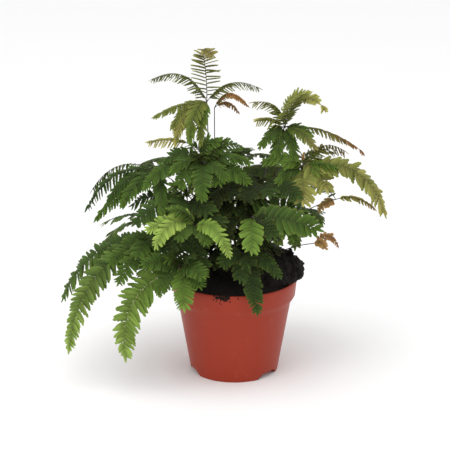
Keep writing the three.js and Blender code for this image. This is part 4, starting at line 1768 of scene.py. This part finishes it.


# The darkest tone on many fingers here is painted shade, for the shade deep in the plant's middle.
FRONDS = [
    Frond("tall_left", Slot.OLIVE, (171, 26), (-26, 14, 261), 13, -90, [
        Finger((-30, -16, 316), 8, 0, Tone.OLIVE, Tone.KHAKI, Habit.COMB, nod=(12, -4, -6)),
        *spray(Tone.OLIVE, Tone.DUSK, Habit.HANGING, 0.72, (-84, 36, 275, 17, 0.1), (27, 24, 270, 13, 0.1)),
        Finger((-77, -16, 252), 4, 0.5, Tone.OLIVE, Tone.OLIVE, Habit.SWEPT, 0.62),
        Finger((-42, -30, 230), 14, 0.9, Tone.OLIVE, Tone.MID, Habit.SWEPT, 0.75),
    ], [
        Finger((-60, -16, 240), 8, 0.8, Tone.OLIVE, Tone.OLIVE, Habit.SWEPT, 0.6),
        Finger((-56, -20, 226), 12, 0.8, Tone.OLIVE, Tone.GOLD, Habit.SWEPT, 0.62),
        Finger((-32, -24, 226), 10, 0.8, Tone.MID, Tone.OLIVE, Habit.SWEPT, 0.6),
    ], crowding=0.8),
    Frond("tall_bronze", Slot.BRONZE, (143, 26), (-19, 24, 253), 5, -90, [
        *spray(Tone.BRONZE, Tone.RUST, Habit.HANGING, 1.0, (5, 14, 249, 8, 0.6), (13, -10, 265, 13, 0.9)),
    ], crowding=1.1),
    Frond("tan_left", Slot.OLIVE, (-170, 8), (-42, -6, 225), 9, -90, [
        Finger((-83, -20, 230), 4, 0.6, Tone.GOLD, Tone.TAN, Habit.HANGING),
        Finger((-58, -14, 237), 17, 0.9, Tone.GOLD, Tone.TAN, Habit.SWEPT, 0.9),
    ]),
    Frond("top_right", Slot.OLIVE, (20, 14), (48, 22, 235), 12, -90, [
        Finger((80, -8, 263), 19, 0.9, Tone.OLIVE, Tone.GOLD, Habit.COMB, 0.8, nod=(4, -2, -7)),
        *spray(Tone.OLIVE, Tone.GOLD, Habit.HANGING, 0.85, (15, 30, 259, 12, 0.1), (17, 10, 244, 5, 0.4)),
        Finger((118, 10, 216), 7, 0.3, Tone.MID, Tone.RUST, Habit.SWEPT, 0.66, nod=(5, -2, -5)),
        Finger((77, -14, 221), 5, 1.2, Tone.MID, Tone.KHAKI, Habit.SWEPT, 0.66),
        Finger((42, -12, 217), 2, 1, habit=Habit.SWEPT, scale=0.85),
    ], [
        Finger((64, -22, 277), 6, 0.5, Tone.OLIVE, Tone.OLIVE, Habit.COMB, 0.95),
        *spray(Tone.DEEP, Tone.MID, Habit.SWEPT, 0.7, (22, -6, 220, 4, 0.8), (30, 12, 228, 3, 0.6)),
        Finger((58, -8, 208), 3, 1, habit=Habit.SWEPT, scale=0.75),
        Finger((74, 6, 228), 5, 0.8, habit=Habit.SWEPT, scale=0.6),
    ], crowding=0.8),
    Frond("right", Slot.FRESH, (-10, 16), (64, 0, 200), 13, -90, [
        Finger((143, -16, 155), 24, 0.6, Tone.OLIVE, Tone.GOLD, Habit.PLUMED),
        Finger((63, -44, 175), 3, 1.2, Tone.OLIVE, Tone.GOLD),
        Finger((108, 26, 199), 16, 0.3, Tone.OLIVE, Tone.BRONZE, Habit.HANGING, 0.85),
        *spray(Tone.MID, Tone.MID, Habit.SWEPT, 0.8, (27, -14, 211, 8, 0.8), (36, 18, 208, 10, 0.2)),
    ], [
        Finger((98, 20, 208), 12, 0.4, Tone.OLIVE, Tone.OLIVE, Habit.SWEPT, 0.66),
        Finger((84, 14, 211), 9, 0.5, Tone.MID, Tone.OLIVE, Habit.SWEPT, 0.66),
        Finger((98, -12, 203), 5, 0.6, Tone.MID, Tone.MID, Habit.SWEPT, 0.66),
        Finger((84, -14, 196), 4, 0.8, Tone.MID, Tone.OLIVE, Habit.SWEPT, 0.66),
        Finger((44, -18, 206), 6, 0.9, Tone.MID, Tone.MID, Habit.SWEPT, 0.7),
        Finger((38, -26, 192), 5, 1.1, habit=Habit.SWEPT, scale=0.7),
    ], crowding=0.9, between=0.6),
    Frond("dome", Slot.DEEP, (-120, 8), (-30, -18, 208), 14, -90, [
        *spray(Tone.DEEP, Tone.MID, Habit.SPREAD, 0.68, (10, -2, 220, 12, 0.5), (-22, -26, 240, 8, 0.6)),
        Finger((-66, -16, 216), 10, 0.6, Tone.DEEP, Tone.DEEP, scale=0.68),
        *spray(Tone.DEEP, Tone.MID, Habit.SPREAD, 0.68, (-77, -54, 190, 13, 0.9), (-30, -64, 184, 10, 1.1),
               (14, -44, 202, 6, 1)),
    ], [
        *spray(Tone.DEEP, Tone.MID, Habit.SWEPT, 0.64, (-22, -22, 238, 3, 1.4), (-3, -14, 232, 5, 1.4),
               (-44, -18, 230, 5, 1.4), (-60, -40, 206, 8, 1), (-6, -50, 200, 7, 1),
               (18, -30, 212, 7, 0.9)),
    ], crowding=0.8, between=0.78),
    Frond("left", Slot.DEEP, (175, 15), (-72, 2, 196), 11, -90, [
        Finger((-139, 26, 168), 17, 0.3, Tone.MID, Tone.DEEP, Habit.HANGING),
        Finger((-139, -12, 156), 18, 0.8, Tone.DEEP, Tone.DEEP, Habit.HANGING, 0.95),
        Finger((-125, -44, 163), 7, 1, Tone.MID, Tone.MID, Habit.SWEPT, 0.9),
        *spray(Tone.DEEP, Tone.MID, Habit.SWEPT, 0.9, (-86, -52, 168, 5, 1.3), (-98, 52, 182, 8, 0)),
    ], [
        Finger((-120, -24, 172), 10, 1, Tone.DEEP, Tone.DEEP, Habit.SWEPT, 0.9),
        Finger((-106, -40, 172), 8, 1.1, habit=Habit.SWEPT, scale=0.9),
    ]),
    Frond("low_left", Slot.DEEP, (-165, 20), (-77, -28, 139), 16, -90, [
        Finger((-156, -58, 35), 24, 1.2, Tone.DEEP, Tone.LIME, Habit.PLUMED, 0.86),
        Finger((-167, -4, 67), 19, 0.8, habit=Habit.PLUMED, scale=0.8),
        Finger((-113, -62, 102), 5, 1.2, scale=0.62),
    ], [
        Finger((-118, -50, 118), 6, 1.2, scale=0.6),
        Finger((-104, -30, 136), 4, 1.2, habit=Habit.SWEPT, scale=0.6),
        *spray(Tone.DEEP, Tone.MID, Habit.SPREAD, 0.6, (-92, -58, 128, 4, 1.2), (-86, -58, 108, 3, 1.2)),
    ], crowding=0.68),
    Frond("low_front_left", Slot.DEEP, (-140, 21), (-50, -50, 119), 16, -90, [
        Finger((-101, -74, 33), 25, 1.3, Tone.MID, Tone.LIME, Habit.PLUMED, rib=Tone.STRAW),
        Finger((-47, -76, 78), 6, 1.3, Tone.MID, Tone.FRESH, scale=0.66),
        *spray(Tone.DEEP, Tone.MID, Habit.SPREAD, 0.6, (-88, -62, 124, 5, 1), (-26, -86, 119, 5, 1.2)),
    ], [
        *spray(Tone.SHADE, Tone.DEEP, Habit.SWEPT, 0.6, (-22, -66, 124, 4, 1), (-40, -70, 134, 4, 1)),
        Finger((-64, -66, 132), 4, 1, Tone.SHADE, Tone.MID, Habit.SWEPT, 0.6),
        Finger((-30, -74, 104), 4, 1.2, scale=0.6),
        Finger((-72, -72, 98), 5, 1.2, scale=0.62),
    ], crowding=0.65),
    Frond("front_left", Slot.FRESH, (-112, 18), (-37, -50, 159), 13, -90, [
        Finger((-73, -78, 144), 14, 1.1, Tone.LIME, Tone.LIME, scale=0.7),
        Finger((-4, -86, 138), 13, 1.1, Tone.FRESH, Tone.LIME, scale=0.6),
        Finger((-10, -66, 166), 4, 1, Tone.SHADE, Tone.DEEP, Habit.SWEPT, 0.8),
        Finger((-66, -62, 180), 6, 0.9, habit=Habit.SWEPT, scale=0.8),
    ], [
        *spray(Tone.DEEP, Tone.MID, Habit.SPREAD, 0.6, (-24, -74, 146, 5, 1.1), (-52, -74, 150, 6, 1.1)),
        Finger((-83, -70, 160), 5, 1.1, Tone.FRESH, Tone.LIME, scale=0.72),
        Finger((-60, -60, 177), 5, 1, Tone.FRESH, Tone.LIME, scale=0.5),
    ], crowding=0.84),
    Frond("front_right", Slot.FRESH, (-62, 18), (15, -46, 166), 14, -90, [
        Finger((15, -88, 142), 4, 1.2, Tone.MID, Tone.FRESH, scale=0.78),
        *spray(Tone.DEEP, Tone.MID, Habit.SPREAD, 1.0, (82, -60, 156, 4, 1.2), (76, -34, 168, 8, 0.9)),
    ], [
        Finger((60, -56, 147), 5, 1.2, scale=0.8),
        Finger((38, -64, 149), 4, 1.2, Tone.SHADE, Tone.DEEP, scale=0.7),
    ]),
    Frond("right_bronze", Slot.BRONZE, (0, 22), (96, 2, 169), 5, -90, [
        Finger((135, -4, 159), 7, 0.5, Tone.GOLD, Tone.BRONZE, Habit.SWEPT, 1.15),
        Finger((78, -16, 162), 3, 0.9, Tone.BRONZE, Tone.BRONZE, scale=1.1),
        Finger((76, 8, 183), 3, 0.7, Tone.DEEP, Tone.OLIVE),
    ], crowding=1.2),
    Frond("young_bronze", Slot.BRONZE, (-22, 26), (75, -16, 131), 5, -90, [
        Finger((99, -14, 125), 10, 0.8, Tone.BRONZE, Tone.RUST),
        Finger((86, -32, 129), 5, 1, Tone.BRONZE, Tone.BRONZE),
    ]),
    Frond("front_low", Slot.DEEP, (-80, 24), (8, -48, 132), 11, -90, [
        Finger((21, -78, 80), 5, 1.2, Tone.SHADE, Tone.DEEP, scale=0.85),
        Finger((-14, -68, 124), 5, 1, Tone.SHADE, Tone.DEEP, scale=0.8),
        Finger((46, -60, 112), 6, 1, Tone.SHADE, Tone.DEEP, scale=0.7),
    ], crowding=0.9, between=0.8),
    Frond("inner", Slot.DEEP, (-100, 6), (-2, -20, 166), 14, -90, [
        Finger((-28, -48, 160), 5, 1.1, Tone.SHADE, Tone.DEEP, scale=0.8),
        *spray(Tone.SHADE, Tone.SHADE, Habit.SPREAD, 0.8, (34, -28, 162, 6, 1), (0, -60, 148, 6, 1.2)),
    ], crowding=0.8, between=0.8),
    Frond("middle_left", Slot.DEEP, (-150, 14), (-44, -28, 176), 14, -90, [
        Finger((-92, -58, 162), 8, 1, Tone.DEEP, Tone.DEEP, scale=0.8),
        *spray(Tone.SHADE, Tone.DEEP, Habit.SPREAD, 0.8, (-28, -62, 170, 4, 1.1), (-100, -14, 166, 8, 0.6)),
    ], [
        *spray(Tone.SHADE, Tone.DEEP, Habit.SPREAD, 0.9, (-64, -46, 114, 6, 1.1), (-48, -50, 112, 5, 1.1),
               (-32, -48, 116, 5, 1.1)),
        Finger((-82, -42, 128), 7, 1, Tone.SHADE, Tone.DEEP, scale=0.8),
        *spray(Tone.SHADE, Tone.SHADE, Habit.SPREAD, 0.9, (-56, -30, 118, 6, 1.1), (-62, -40, 138, 6, 1.1)),
        Finger((-74, -46, 132), 7, 1, Tone.SHADE, Tone.DEEP, Habit.SWEPT, 0.8),
        Finger((-50, -36, 128), 5, 1.1, Tone.SHADE, Tone.SHADE, scale=0.9),
        *spray(Tone.DEEP, Tone.MID, Habit.SWEPT, 0.7, (-62, -34, 193, 5, 0.9), (-50, -40, 198, 5, 1)),
        Finger((-38, -42, 194), 4, 1, Tone.DEEP, Tone.OLIVE, Habit.SWEPT, 0.7),
    ], crowding=0.8, between=0.8),
    Frond("middle_right", Slot.DEEP, (-30, 12), (26, -12, 184), 14, -90, [
        Finger((66, -36, 176), 8, 1, Tone.SHADE, Tone.DEEP, scale=0.8),
        Finger((34, -52, 170), 7, 1.1, Tone.SHADE, Tone.SHADE, scale=0.8),
        *spray(Tone.SHADE, Tone.DEEP, Habit.SPREAD, 0.8, (-18, -30, 180, 7, 1), (74, 4, 182, 9, 0.5)),
    ], crowding=0.8, between=0.8),
    Frond("middle_back", Slot.DEEP, (80, 12), (8, 34, 200), 13, 90, [
        *spray(Tone.DEEP, Tone.MID, Habit.SPREAD, 1.0, (4, 80, 190, 10, 0.5), (44, 56, 194, 8, 0.3),
               (-38, 54, 196, 8, 0.3)),
    ]),
    Frond("back_left", Slot.DEEP, (135, 18), (-46, 50, 192), 13, 120, [
        *spray(Tone.DEEP, Tone.MID, Habit.SPREAD, 1.0, (-102, 80, 166, 13, 0.5), (-62, 110, 154, 14, 0.7)),
        Finger((-16, 104, 168), 9, 0.6, Tone.DEEP, Tone.FRESH),
        Finger((-104, 40, 182), 10, 0.1),
    ]),
    Frond("back_right", Slot.DEEP, (50, 18), (46, 52, 188), 13, 60, [
        Finger((88, 82, 156), 11, 0.5),
        Finger((56, 114, 150), 13, 0.7, Tone.DEEP, Tone.FRESH),
        Finger((10, 104, 164), 9, 0.6),
        Finger((98, 44, 184), 9, 0.1, Tone.DEEP, Tone.OLIVE),
    ]),
    Frond("back_low", Slot.FRESH, (95, 22), (0, 66, 150), 13, 90, [
        *spray(Tone.MID, Tone.FRESH, Habit.SPREAD, 1.0, (-32, 124, 94, 18, 0.9), (36, 126, 88, 18, 0.9)),
        Finger((-58, 92, 138), 9, 0.6, Tone.FRESH, Tone.LIME),
    ]),
    Frond("low_back_left", Slot.DEEP, (158, 22), (-70, 36, 136), 13, 150, [
        Finger((-140, 66, 78), 20, 0.8, Tone.MID, Tone.FRESH),
        *spray(Tone.DEEP, Tone.MID, Habit.SPREAD, 1.0, (-100, 96, 86, 17, 0.9), (-128, 20, 122, 10, 0.4)),
    ]),
    Frond("low_back_right", Slot.DEEP, (28, 24), (62, 42, 140), 12, 50, [
        *spray(Tone.DEEP, Tone.MID, Habit.SPREAD, 1.0, (88, 86, 116, 12, 0.7), (50, 116, 88, 16, 0.9),
               (88, 50, 136, 6, 0.3)),
    ]),
]


# ---------------------------------------------------------------- studio


@dataclass
class Studio:
    """A plain pale floor, soft light and the camera at the photograph's angle."""

    aim: Vector = field(default_factory=lambda: Vector((-9, 0, 144.3)) * MM)
    distance: float = 1.55
    elevation: float = 17
    half_frame: float = 0.2142
    floor_size: float = 30.0

    def floor(self) -> None:
        """Lays the floor."""
        floor = start_piece(bpy.ops.mesh.primitive_plane_add, "studio_floor", size=self.floor_size)
        edit(floor)
        bpy.ops.mesh.select_all(action="SELECT")
        bpy.ops.mesh.subdivide(number_cuts=1)
        let_go()
        material = bpy.data.materials.new("floor_paper")
        material.use_nodes = True
        shader = material.node_tree.nodes["Principled BSDF"]
        shader.inputs["Base Color"].default_value = (0.93, 0.93, 0.93, 1)
        shader.inputs["Roughness"].default_value = 0.9
        shader.inputs["Specular IOR Level"].default_value = 0.1
        floor.data.materials.append(material)

    def lamp(self, name: str, place: tuple[float, float, float], size: float, power: float) -> None:
        """Hangs a square soft lamp that faces the plant.

        Args:
            name: its name.
            place: where it hangs.
            size: the length of its side.
            power: its power in watts.
        """
        let_go()
        bpy.ops.object.light_add(type="AREA", location=place)
        lamp = bpy.context.object
        lamp.name = name
        lamp.data.size = size
        lamp.data.energy = power
        lamp.rotation_euler = (self.aim - Vector(place)).to_track_quat("-Z", "Y").to_euler()

    def light(self) -> None:
        """Lights the plant from above and in front, in an even pale room."""
        world = bpy.data.worlds.new("pale_room")
        bpy.context.scene.world = world
        world.use_nodes = True
        sky = world.node_tree.nodes["Background"]
        sky.inputs["Color"].default_value = (1, 1, 1, 1)
        sky.inputs["Strength"].default_value = 1.0
        self.lamp("overhead", (-0.3, -0.5, 1.6), 1.2, 8)
        self.lamp("front_left", (-1.3, -1.1, 0.7), 0.8, 4)
        bpy.context.scene.view_settings.view_transform = "Standard"

    def camera(self) -> None:
        """Sets the camera up."""
        let_go()
        tilt = math.radians(self.elevation)
        back = Vector((0, -math.cos(tilt), math.sin(tilt)))
        bpy.ops.object.camera_add(location=self.aim + back * self.distance)
        camera = bpy.context.object
        camera.name = "photo_camera"
        camera.rotation_euler = (-back).to_track_quat("-Z", "Y").to_euler()
        camera.data.angle = 2 * math.atan(self.half_frame / self.distance)
        camera.data.clip_end = 100
        bpy.context.scene.camera = camera

    def build(self) -> None:
        """Sets the studio up."""
        self.floor()
        self.light()
        self.camera()


# ---------------------------------------------------------------- the whole plant


def main() -> None:
    """Builds the studio, the pot, the soil and every frond."""
    logging.basicConfig(level=logging.INFO, format="%(name)s: %(message)s")
    Studio().build()
    mottle_group()
    leaf_group()
    pot = Pot()
    pot.build()
    soil = RootBall(pot)
    soil.build()
    moulds = LeafletMoulds()
    moulds.build()
    finishes = {slot: finish.make() for slot, finish in LEAF_FINISHES.items()}
    finishes[Slot.STIPE] = STALK_FINISH.make()
    bed = Bed(soil, moulds, finishes)
    for frond in (*FRONDS, Undergrowth()):
        frond.build(bed)
    moulds.clear()
    let_go()


if __name__ == "__main__":
    main()
